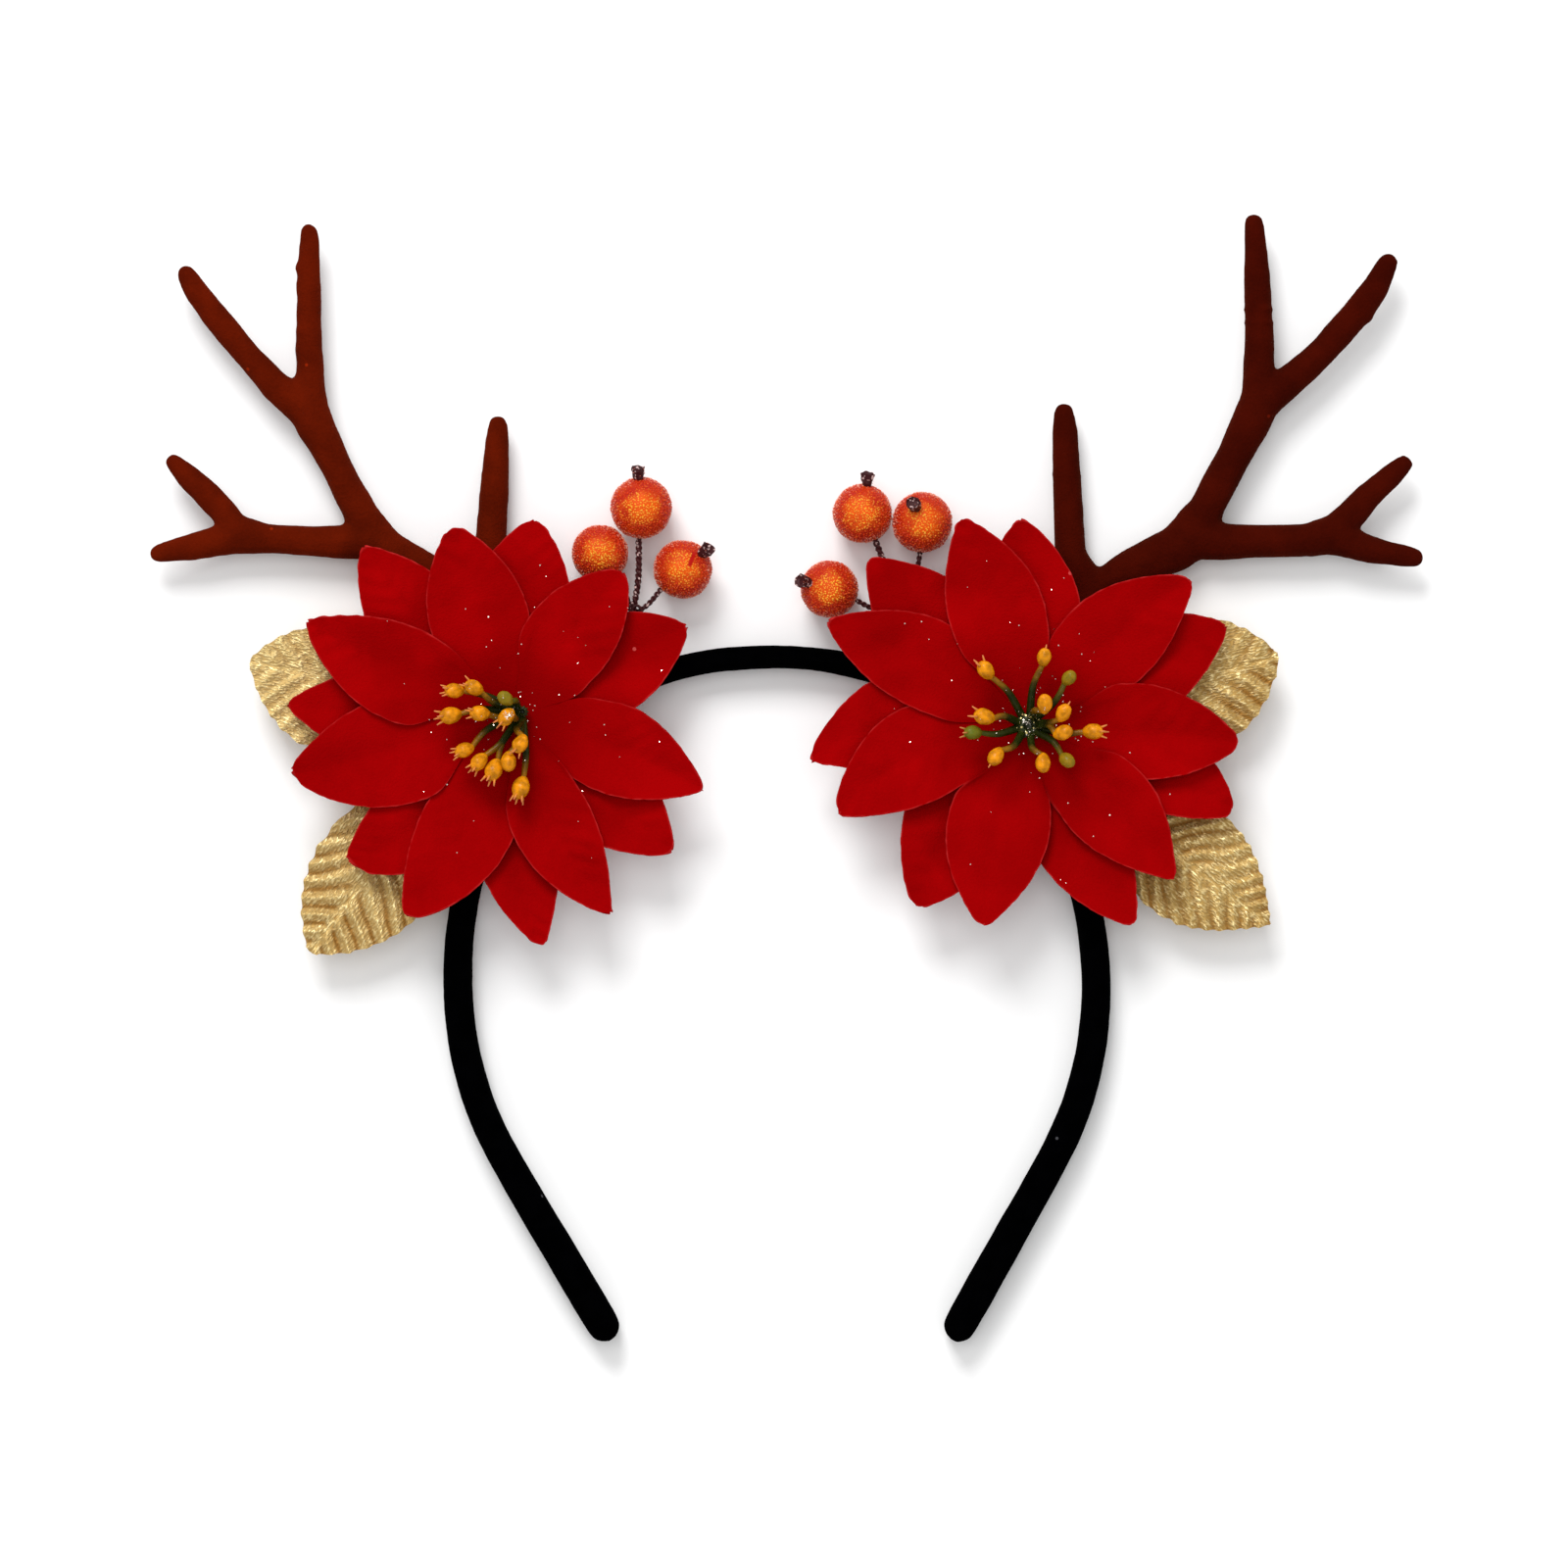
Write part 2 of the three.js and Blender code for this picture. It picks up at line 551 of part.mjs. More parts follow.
function petalLayer(side, layer) {
  const front = layer === "front";
  const length = front ? FRONT_PETAL_LENGTH : BACK_PETAL_LENGTH;
  const lift = front ? FRONT_PETAL_LIFT : BACK_PETAL_LIFT;
  const cup = front ? FRONT_PETAL_CUP : BACK_PETAL_CUP;
  const foot = front ? FRONT_HUB : BACK_HUB;
  const centre = flowerCentre(side);
  const rows = PETALS[side.name][layer];
  const upper = foot + HUB_COVER + PETAL_WALL;
  const halfSector = (row, other) => {
    const between = THREE.MathUtils.euclideanModulo(other.angle - row.angle, 360);
    return (Math.min(between, 360 - between) / 2) * RADIANS;
  };
  const petals = rows.map((row, index) => {
    const before = halfSector(row, rows[(index + rows.length - 1) % rows.length]);
    const after = halfSector(row, rows[(index + 1) % rows.length]);
    const turn = row.angle * RADIANS;
    const tip = row.long * length;
    const reaches = PETAL_STATIONS.map((part) => THREE.MathUtils.lerp(HUB_RADIUS, tip, part));
    const grid = [HUB_RADIUS / 2, ...reaches].map((reach) => {
      const share = reach / tip;
      const climb = Math.max(reach - HUB_RADIUS, 0) / (tip - HUB_RADIUS);
      return PETAL_COLUMNS.map((place) => {
        const sector = place > 0 ? before : after;
        const wide = place > 0 ? row.left : row.right;
        const half = (wide * PETAL_WIDTH * petalWidth(share)) / 2;
        const room = Math.max(reach * Math.tan(sector) - PETAL_SLIT / 2, PETAL_SLIT);
        const width = Math.min(half, room);
        const sideways = place * width;
        const fade = THREE.MathUtils.smoothstep(climb, 0, PETAL_SHAPED_FROM);
        const bow = cup * place * place * fade * (width / PETAL_WIDTH) * 2;
        const groove = place === 0 ? PETAL_GROOVE * fade * (1 - share) : 0;
        const tilt = Math.sin(row.roll * RADIANS) * sideways * fade;
        const rise = lift * row.lift * climb ** PETAL_RISE_POWER + bow + tilt - groove;
        const x = reach * Math.cos(turn) - sideways * Math.sin(turn);
        const y = reach * Math.sin(turn) + sideways * Math.cos(turn);
        return new THREE.Vector3(centre.x + x, centre.y + y, upper + rise);
      });
    });
    return sheet(grid, PETAL_WALL);
  });
  const hub = discGeometry(centre, HUB_RADIUS, foot, HUB_WALL, HUB_SIDES);
  return joined([hub, ...petals]);
}

function discGeometry(centre, radius, foot, height, sides) {
  const disc = new THREE.CylinderGeometry(radius, radius, height, sides);
  disc.rotateX(Math.PI / 2);
  disc.translate(centre.x, centre.y, foot + height / 2);
  return disc;
}

function stamenGeometry(side) {
  const shift = new THREE.Vector3(side.hub.across, side.hub.up, 0);
  const centre = flowerCentre(side).addScaledVector(shift, STAMEN_HUB_RADIUS);
  const root = new THREE.Vector3(centre.x, centre.y, STAMEN_FOOT + STAMEN_HUB_HEIGHT / 2);
  const pieces = [
    discGeometry(centre, STAMEN_HUB_RADIUS, STAMEN_FOOT, STAMEN_HUB_HEIGHT, STAMEN_HUB_SIDES),
  ];
  STAMENS[side.name].forEach((row) => {
    const offset = new THREE.Vector3(row.across * STAMEN_REACH, row.up * STAMEN_REACH, 0);
    const head = root.clone().add(offset).setZ(root.z + row.rise * STAMEN_RISE);
    const bend = root.clone().lerp(head, 0.5);
    bend.z += STALK_BOW * STAMEN_RISE;
    const aim = head.clone().sub(bend).normalize();
    const bud = new THREE.SphereGeometry(BUD_RADIUS * row.size, BUD_SIDES, BUD_RINGS);
    bud.scale(1, BUD_STRETCH, 1);
    bud.applyQuaternion(new THREE.Quaternion().setFromUnitVectors(new THREE.Vector3(0, 1, 0), aim));
    bud.translate(head.x, head.y, head.z);
    pieces.push(wireGeometry([root, bend, head], STALK_RADIUS), bud);
  });
  return joined(pieces);
}

// A thin stalk or wire through points
function wireGeometry(points, radius) {
  const rings = points.map((point, i) => {
    const before = points[Math.max(i - 1, 0)];
    const after = points[Math.min(i + 1, points.length - 1)];
    const along = after.clone().sub(before).normalize();
    const turn = new THREE.Quaternion().setFromUnitVectors(new THREE.Vector3(0, 0, 1), along);
    return Array.from({ length: WIRE_SIDES }, (_, k) => {
      const angle = (2 * Math.PI * k) / WIRE_SIDES;
      const spoke = new THREE.Vector3(Math.cos(angle), Math.sin(angle), 0).multiplyScalar(radius);
      return point.clone().add(spoke.applyQuaternion(turn));
    });
  });
  return loft(rings);
}

// The gold leaf's half width along its length, as a share of the widest
function leafWidth(share) {
  return Math.sin(Math.PI * THREE.MathUtils.clamp(share, 0, 1) ** LEAF_WAIST_POWER) ** LEAF_SIDE_POWER;
}

function leafGeometry(side, row) {
  const centre = flowerCentre(side);
  const length = LEAF_LENGTH * row.long;
  const angle = row.angle * RADIANS;
  const bend = row.bend * RADIANS;
  const turn = angle + bend;
  const start = POST_RADIUS + GAP + LEAF_TURN_ROOM * Math.abs(Math.sin(bend));
  const foot = new THREE.Vector3(Math.cos(angle), Math.sin(angle), 0).multiplyScalar(start);
  const lines = LEAF_RIBS * 2;
  const grid = [];
  for (let i = 0; i <= lines; i += 1) {
    const crest = i % 2 === 0 ? 1 : -1;
    const spine = LEAF_SPINE_SHARE * (i / lines) ** LEAF_SPINE_POWER;
    let edge = spine;
    for (let pass = 0; pass < LEAF_EDGE_PASSES; pass += 1) {
      const slide = (LEAF_RIB_SLOPE * leafWidth(edge) * LEAF_WIDTH) / 2 / length;
      edge = THREE.MathUtils.lerp(edge, Math.min(spine + slide, LEAF_EDGE_SHARE), 0.5);
    }
    const half = Math.max(leafWidth(edge) * (LEAF_WIDTH / 2 + crest * LEAF_NOTCH), LEAF_TIP_HALF);
    const crimp = crest * LEAF_CRIMP * THREE.MathUtils.smoothstep(spine, 0, LEAF_CRIMPED_FROM);
    const points = [
      { along: edge, sideways: -half * row.right, high: crimp },
      { along: spine, sideways: 0, high: 0 },
      { along: edge, sideways: half * row.left, high: crimp },
    ];
    grid.push(
      points.map(({ along, sideways, high }) => {
        const reach = along * length;
        const x = foot.x + reach * Math.cos(turn) - sideways * Math.sin(turn);
        const y = foot.y + reach * Math.sin(turn) + sideways * Math.cos(turn);
        return new THREE.Vector3(centre.x + x, centre.y + y, LEAF_FOOT + high);
      }),
    );
  }
  return sheet(grid, LEAF_WALL);
}

function berryCentre(side, row) {
  const flower = flowerCentre(side);
  const inward = side.spray.out * BERRY_SPRAY + row.out * BERRY_RADIUS;
  const upward = side.spray.up * BERRY_SPRAY + row.up * BERRY_RADIUS;
  const level = BERRY_RADIUS * row.size + BERRY_LIFT;
  return new THREE.Vector3(flower.x - side.sign * inward, flower.y + upward, level);
}

function berryGeometry(side, row) {
  const radius = BERRY_RADIUS * row.size;
  const profile = [new THREE.Vector2(0, -radius)];
  for (let angle = -60; angle <= 60; angle += 30) {
    profile.push(new THREE.Vector2(radius * Math.cos(angle * RADIANS), radius * Math.sin(angle * RADIANS)));
  }
  const neck = Math.sqrt(radius * radius - NUB_RADIUS * NUB_RADIUS);
  profile.push(new THREE.Vector2(NUB_RADIUS, neck));
  profile.push(new THREE.Vector2(NUB_RADIUS, neck + NUB_LENGTH));
  profile.push(new THREE.Vector2(0, neck + NUB_LENGTH));
  const berry = new THREE.LatheGeometry(profile, BERRY_SIDES);
  const flat = row.nub * RADIANS;
  const up = row.raise * RADIANS;
  const aim = new THREE.Vector3(Math.cos(flat) * Math.cos(up), Math.sin(flat) * Math.cos(up), Math.sin(up));
  berry.applyQuaternion(new THREE.Quaternion().setFromUnitVectors(new THREE.Vector3(0, 1, 0), aim));
  const centre = berryCentre(side, row);
  berry.translate(centre.x, centre.y, centre.z);
  return joined([berry]);
}

function stemGeometry(side) {
  const flower = flowerCentre(side);
  const step = new THREE.Vector3(-side.sign * side.joint.out, side.joint.up, 0);
  const joint = flower.clone().addScaledVector(step, BERRY_SPRAY).setZ(WIRE_LEVEL);
  const away = joint.clone().sub(flower).setZ(0).normalize();
  const root = flower.clone().setZ(WIRE_LEVEL).addScaledVector(away, POST_RADIUS + GAP);
  const wires = [wireGeometry([root, root.clone().lerp(joint, 0.5), joint], WIRE_RADIUS)];
  side.berries.forEach((row) => {
    const centre = berryCentre(side, row);
    const reach = BERRY_RADIUS * row.size + GAP;
    const below = joint.clone().sub(centre).setZ(0).normalize();
    const end = centre.clone().addScaledVector(below, reach);
    const bend = joint.clone().lerp(end, 0.5);
    bend.z = (2 * end.z + WIRE_LEVEL) / 3;
    wires.push(wireGeometry([joint, bend, end], WIRE_RADIUS));
  });
  return joined(wires);
}

function piece(name, geometry, colour) {
  const mesh = new THREE.Mesh(geometry, new THREE.MeshStandardMaterial(colour));
  mesh.name = name;
  return mesh;
}

const headband = new THREE.Group();
headband.add(piece("band", bandGeometry(), COLOURS.velvet));
Object.values(SIDES).forEach((side) => {
  const post = discGeometry(flowerCentre(side), POST_RADIUS, POST_FOOT, POST_HEIGHT, POST_SIDES);
  headband.add(
    piece(`antler_${side.name}`, antlerGeometry(side), COLOURS.flock),
    piece(`flower_post_${side.name}`, post, COLOURS.post),
    piece(`back_petals_${side.name}`, petalLayer(side, "back"), COLOURS.petal),
    piece(`front_petals_${side.name}`, petalLayer(side, "front"), COLOURS.petal),
    piece(`stamens_${side.name}`, stamenGeometry(side), COLOURS.bud),
    piece(`berry_stems_${side.name}`, stemGeometry(side), COLOURS.wire),
  );
  side.leaves.forEach((row, i) => {
    headband.add(piece(`gold_leaf_${side.name}_${i + 1}`, leafGeometry(side, row), COLOURS.gold));
  });
  side.berries.forEach((row, i) => {
    headband.add(piece(`berry_${side.name}_${i + 1}`, berryGeometry(side, row), COLOURS.berry));
  });
});

export default headband;
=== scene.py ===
# A flower headband that lies on its back on a pale floor: a black velvet hoop with two flocked antlers,
# two red velvet flowers, gold cloth leaves and frosted berries. All lengths are in metres.
import math
import random

import bmesh
import bpy
from mathutils import Matrix, Quaternion, Vector, noise
from mathutils.bvhtree import BVHTree


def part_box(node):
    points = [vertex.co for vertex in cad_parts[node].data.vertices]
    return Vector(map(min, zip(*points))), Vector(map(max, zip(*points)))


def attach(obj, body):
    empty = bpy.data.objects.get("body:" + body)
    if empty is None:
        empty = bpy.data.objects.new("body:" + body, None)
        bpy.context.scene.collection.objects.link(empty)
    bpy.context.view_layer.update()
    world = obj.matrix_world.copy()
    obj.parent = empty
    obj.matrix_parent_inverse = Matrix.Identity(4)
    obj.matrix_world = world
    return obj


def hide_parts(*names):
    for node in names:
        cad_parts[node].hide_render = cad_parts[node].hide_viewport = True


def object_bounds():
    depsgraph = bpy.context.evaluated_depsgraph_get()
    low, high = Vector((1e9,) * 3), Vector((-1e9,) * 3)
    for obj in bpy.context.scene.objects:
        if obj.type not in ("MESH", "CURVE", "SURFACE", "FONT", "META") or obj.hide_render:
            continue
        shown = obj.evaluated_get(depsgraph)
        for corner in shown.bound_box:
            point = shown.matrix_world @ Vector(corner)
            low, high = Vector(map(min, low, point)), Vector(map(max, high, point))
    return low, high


bl_info = {
    "name": "Flower headband",
    "version": (1, 0, 0),
    "blender": (4, 5, 0),
    "location": "3D View > Sidebar > Headband",
    "description": "Dresses a flower headband with antlers in velvet, flock, gold cloth and frost",
    "category": "Add Mesh",
}

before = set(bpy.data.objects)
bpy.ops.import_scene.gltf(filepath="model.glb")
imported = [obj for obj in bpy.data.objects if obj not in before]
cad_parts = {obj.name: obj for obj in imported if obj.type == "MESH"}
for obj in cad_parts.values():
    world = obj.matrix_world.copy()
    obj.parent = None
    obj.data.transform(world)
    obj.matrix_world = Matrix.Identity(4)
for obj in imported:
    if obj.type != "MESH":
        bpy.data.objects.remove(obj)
CAD_BOX = [list(corner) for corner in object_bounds()]

MM = 0.001
SIDES = {"left": -1, "right": 1}
UP = Vector((0, 0, 1))
PETAL_ROWS = 56
PETAL_COLUMNS = 36


def middle_of(node):
    low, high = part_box(node)
    return (Vector(low) + Vector(high)) / 2


FLOWERS = {side: middle_of(f"flower_post_{side}").to_2d() for side in SIDES}

# The petals, clockwise round each flower. Columns: angle of the tip, degrees from +X; long, share of the
# petal's length; left and right of the line to the tip, shares of half the petal's width; how pointed the
# left and right edges run, less is blunter; lift, share of the layer's lift; roll, degrees about the petal's
# own line; fold, share of the full midrib fold; tier, its place in the pile from below.
PETALS = {
    ("left", "front"): (
        (107, 0.90, 0.98, 0.90, 0.78, 0.76, 1.00, 3, 0.7, 0),
        (52, 0.83, 0.88, 0.82, 0.70, 0.66, 1.10, -4, 1.0, 1),
        (-21, 0.94, 0.97, 0.74, 0.90, 0.86, 0.90, 3, 1.2, 0),
        (-63, 1.01, 0.55, 0.99, 1.00, 0.80, 0.95, -2, 0.9, 1),
        (242, 1.03, 1.14, 0.63, 0.65, 0.86, 1.05, 4, 0.6, 0),
        (194, 1.03, 1.15, 0.91, 0.62, 0.86, 0.90, -3, 0.5, 1),
        (155, 1.02, 1.06, 0.75, 0.78, 0.86, 1.10, 2, 1.5, 2),
    ),
    ("left", "back"): (
        (131, 1.00, 1.10, 0.78, 0.75, 0.86, 1.00, 0, 0.4, 0),
        (83, 0.88, 1.06, 0.90, 0.75, 0.72, 1.00, 2, 0.5, 1),
        (27, 0.88, 1.00, 0.94, 0.80, 0.78, 0.90, -2, 0.5, 0),
        (-40, 0.94, 0.93, 0.93, 0.84, 0.76, 0.90, 1, 0.5, 1),
        (-82, 1.04, 0.55, 1.03, 0.90, 0.80, 0.80, -2, 0.4, 0),
        (221, 0.97, 1.30, 0.56, 0.50, 0.78, 0.90, 2, 0.4, 1),
        (177, 1.00, 0.97, 0.78, 0.84, 0.84, 0.90, -1, 0.6, 2),
    ),
    ("right", "front"): (
        (108, 0.98, 0.82, 1.00, 0.84, 0.84, 1.10, -3, 0.6, 2),
        (41, 0.99, 1.05, 0.78, 0.76, 0.86, 0.95, 3, 0.4, 0),
        (-5, 0.97, 0.93, 0.88, 0.82, 0.70, 0.90, -3, 0.8, 1),
        (-47, 0.98, 0.93, 0.77, 0.92, 1.00, 1.00, 3, 0.5, 2),
        (258, 0.95, 0.85, 1.10, 0.90, 0.78, 1.05, -2, 0.3, 1),
        (206, 0.96, 0.55, 1.28, 0.90, 0.72, 1.00, 4, 0.8, 0),
        (153, 1.02, 0.73, 0.98, 0.72, 0.86, 1.10, -3, 0.4, 1),
    ),
    ("right", "back"): (
        (134, 1.02, 1.04, 0.95, 0.86, 0.86, 1.00, 2, 0.3, 1),
        (92, 0.91, 0.86, 1.09, 0.86, 0.76, 1.00, -1, 0.4, 0),
        (26, 0.99, 1.00, 0.98, 0.84, 0.84, 0.90, 2, 0.4, 1),
        (-24, 1.00, 1.15, 0.62, 0.68, 0.74, 0.80, -2, 0.4, 0),
        (-62, 1.02, 0.69, 1.02, 0.86, 0.78, 0.80, 1, 0.3, 1),
        (239, 0.96, 0.91, 1.19, 0.84, 0.78, 0.90, 1, 0.5, 0),
        (190, 0.98, 0.48, 1.40, 1.00, 0.76, 1.00, -2, 0.4, 2),
    ),
}

# Each layer of petals. Columns: length, level of the base, lift at the tip, and how far the edges cup.
LAYERS = {
    "back": (45 * MM, 12.3 * MM, 3.0 * MM, 0.5 * MM),
    "front": (44 * MM, 13.7 * MM, 4.4 * MM, 0.2 * MM),
}

# The gold leaves. Columns: angle of the foot, and how far the blade bends from there, both in degrees;
# length; left and right, shares of half the width; how pointed it is, less is blunter; how many ribs; how
# deep they are pressed, a share; how much painted light brightens the cloth, from 0 to 1.
LEAVES = {
    ("left", 1): (169, -1, 46.0 * MM, 1.10, 0.80, 0.75, 7.5, 0.55, 0.30),
    ("left", 2): (200, 34, 55.6 * MM, 1.00, 0.86, 0.75, 9.5, 1.1, 0.20),
    ("right", 1): (14, 1, 44.6 * MM, 0.90, 1.05, 0.75, 6.5, 1.25, 0.08),
    ("right", 2): (-57, 20, 56.1 * MM, 0.90, 0.90, 0.95, 11, 1.5, 0.08),
}

# How far the ribs of a leaf may start from their usual place, in mm.
RIB_STRAY = 3.0

# The berries. Columns: inward and up from the flower's middle; radius; the nub's turn in the resting plane
# and its tilt, both in degrees; 1 where a scratch runs through the frost.
BERRIES = {
    ("left", 1): (26.2 * MM, 42.3 * MM, 6.3 * MM, 95, 20, 0),
    ("left", 2): (17.8 * MM, 33.06 * MM, 5.82 * MM, -110, 0, 0),
    ("left", 3): (34.6 * MM, 29.8 * MM, 6.0 * MM, 38, 35, 1),
    ("right", 1): (33.2 * MM, 42.6 * MM, 6.06 * MM, 82, 15, 0),
    ("right", 2): (21.08 * MM, 40.8 * MM, 6.18 * MM, 118, 60, 0),
    ("right", 3): (39.92 * MM, 27.24 * MM, 5.88 * MM, 165, 40, 0),
}

# Where the three wires of a spray of berries meet, across and up from the flower's middle.
STEM_FORKS = {"left": (24.4 * MM, 20.6 * MM), "right": (-22.5 * MM, 20.0 * MM)}

# The stamens. Columns: across, up and rise from the middle of the spray; bud's radius; how many prongs; where
# the prongs point, degrees in the resting plane; ripe, from 0, green, to 1, yellow.
STAMENS = {
    "left": (
        (-13.6, 4.2, 5.4, 1.52, 4, 180, 1.0),
        (-9.6, 4.8, 7.2, 1.52, 3, 150, 1.0),
        (-14.4, -0.8, 5.4, 1.74, 4, 190, 1.0),
        (-8.4, -0.4, 7.6, 1.57, 3, 175, 1.0),
        (-3.2, 2.6, 8.6, 1.39, 0, 120, 0.25),
        (-3.0, -1.2, 9.0, 1.52, 4, 230, 1.0),
        (-11.6, -7.8, 5.4, 1.52, 4, 200, 1.0),
        (-8.6, -10.2, 5.8, 1.57, 4, 230, 1.0),
        (-5.6, -11.8, 5.4, 1.78, 4, 245, 1.0),
        (-2.6, -10.2, 6.8, 1.57, 0, 270, 1.0),
        (-0.2, -6.6, 8.1, 1.52, 3, 240, 1.0),
        (-0.2, -15.4, 4.5, 1.78, 5, 255, 1.0),
    ),
    "right": (
        (-8.8, 11.2, 5.4, 1.61, 3, 128, 1.0),
        (3.0, 13.8, 5.4, 1.44, 1, 80, 0.9),
        (8.0, 9.6, 5.4, 1.36, 0, 50, 0.3),
        (3.0, 4.4, 9.0, 1.53, 0, 90, 1.0),
        (6.8, 2.6, 8.1, 1.49, 1, 60, 1.0),
        (6.8, -1.4, 7.6, 1.53, 0, 20, 1.0),
        (12.9, -1.2, 5.4, 1.61, 4, 0, 1.0),
        (7.6, -7.0, 6.3, 1.4, 0, 300, 0.35),
        (2.7, -7.6, 7.2, 1.53, 0, 270, 1.0),
        (-6.8, -6.3, 6.8, 1.53, 1, 235, 1.0),
        (-9.2, 1.8, 6.8, 1.66, 3, 165, 1.0),
        (-11.4, -1.4, 5.4, 1.44, 3, 180, 0.1),
    ),
}

# Each spray of stamens: how far its middle stands from the flower's, across and up; how large the green star
# in its middle is, a share; the level of both.
SPRAYS = {"left": (2.4 * MM, 0.8 * MM), "right": (0.2 * MM, -0.6 * MM)}
HUB_SIZES = {"left": 0.5, "right": 1.0}
SPRAY_LEVEL = 15.6 * MM

# How many flakes of glitter lie on each flower, and how many golden ones round its green star.
FLAKES = 130
GOLDEN_FLAKES = {"left": 0, "right": 30}

# Small lumps in the flock of the antlers: place on the floor and size, in mm. The rings are faint ridges
# across the longest tine of the right antler, at these places up the floor in mm.
ANTLER_LUMPS = ((-97.6, 79.0, 0.9), (-96.4, 66.0, 0.5), (121.2, 68.0, 0.7), (99.4, 70.6, 0.5))
ANTLER_RINGS = (70.4, 67.8)

# How each antler was bent and swelled out of its mould, in mm. Columns: place on the floor, shift there, and
# how much fuller it is.
ANTLER_BENDS = {
    "left": (
        (-94.0, 86.0, -1.5, 1.9, 0.12),
        (-94.0, 82.1, -1.2, 1.2, 0.25),
        (-94.2, 76.1, -1.1, 0.6, 0.10),
        (-94.6, 70.1, -0.6, 0.2, 0.0),
        (-94.9, 64.1, -0.3, 0.0, 0.0),
        (-95.1, 58.1, 0.2, 0.0, -0.15),
        (-94.8, 48.1, 0.2, 0.0, 0.25),
        (-92.0, 42.1, 0.6, 0.1, 0.0),
        (-89.0, 36.1, 0.7, 0.1, -0.2),
        (-84.9, 28.1, 0.9, 0.3, 0.0),
        (-120.9, 77.9, -0.3, 0.7, 0.40),
        (-114.3, 68.3, 0.3, 0.5, 0.20),
        (-106.3, 59.1, 0.3, 0.4, 0.0),
        (-100.3, 53.5, 0.1, 0.0, 0.15),
        (-90.3, 22.9, 0.3, 1.0, 0.0),
        (-100.3, 22.7, 0.2, 1.1, -0.1),
        (-108.3, 22.9, 0.5, 1.3, 0.3),
        (-114.3, 25.1, 1.4, 1.8, 0.2),
        (-120.3, 21.1, 0.0, 1.3, 0.30),
        (-126.7, 19.9, 0.2, 1.3, 0.45),
        (-117.3, 31.5, 1.3, 1.3, 0.35),
        (-120.3, 34.3, 1.2, 1.25, 0.40),
        (-124.3, 38.7, 0.9, 1.7, 0.34),
        (-78.3, 24.5, 0.6, 0.9, 0.1),
        (-72.3, 21.1, 0.5, 0.9, 0.1),
    ),
    "right": (
        (97.6, 89.0, 0.1, 0.8, 0.2),
        (97.6, 80.0, 0.3, 0.0, 0.25),
        (98.6, 68.0, 0.2, 0.0, 0.1),
        (99.0, 54.0, 0.1, 0.0, 0.1),
        (98.6, 47.5, 0.1, 0.0, 0.4),
        (94.6, 42.0, 0.0, 0.0, 0.2),
        (87.0, 32.0, -0.1, 0.1, 0.1),
        (84.0, 27.0, -0.3, 0.3, 0.4),
        (124.4, 80.2, 0.4, 0.7, 0.5),
        (121.0, 74.0, 0.3, 0.0, 0.5),
        (116.0, 66.0, 0.4, 0.0, 0.4),
        (110.6, 60.0, 0.4, 0.0, 0.2),
        (104.0, 53.0, 0.0, 0.0, 0.2),
        (107.0, 22.0, 0.0, 0.1, 0.2),
        (113.6, 23.0, -0.3, 0.8, 0.4),
        (121.5, 31.5, 0.1, 0.4, 0.4),
        (126.5, 37.5, 0.4, 0.5, 0.5),
        (122.0, 21.5, 0.0, 0.2, 0.2),
        (129.8, 19.6, 0.5, 0.3, 0.5),
        (60.0, 48.0, 0.0, 0.7, 0.25),
        (60.0, 36.0, 0.0, 0.0, 0.1),
        (75.0, 22.0, -0.6, 0.5, 0.4),
        (60.0, 22.0, 0.0, 0.0, 0.0),
    ),
}


def distance(name, description, default):
    return bpy.props.FloatProperty(name=name, description=description, default=default, unit="LENGTH")


def tint(name, description, *default):
    return bpy.props.FloatVectorProperty(
        name=name, description=description, subtype="COLOR", size=4, default=(*default, 1)
    )


class HeadbandSizes(bpy.types.PropertyGroup):
    petal_width: distance("Petal width", "Widest part of a petal", 21.4 * MM)
    petal_wall: distance("Petal wall", "Thickness of the velvet cloth", 0.45 * MM)
    petal_vein: distance("Petal midrib", "Depth of the pressed midrib", 0.18 * MM)
    petal_fold: distance("Petal fold", "Depth of the fold along the midrib", 1.7 * MM)
    petal_gap: distance("Petal gap", "Air between petals that overlap", 0.35 * MM)
    leaf_width: distance("Leaf width", "Widest part of a gold leaf", 26.5 * MM)
    leaf_crimp: distance("Leaf crimp", "Half the height of the pressed ribs", 0.50 * MM)
    frost_grain: distance("Frost grain", "Radius of a grain of frost", 0.20 * MM)
    frost_count: bpy.props.IntProperty(
        name="Frost grains", description="Grains of frost on each berry", default=2200, min=0
    )
    wire: distance("Wire", "Radius of one strand of the berry stems", 0.30 * MM)
    antler_voxel: distance("Antler detail", "Mesh size of the antlers", 0.45 * MM)


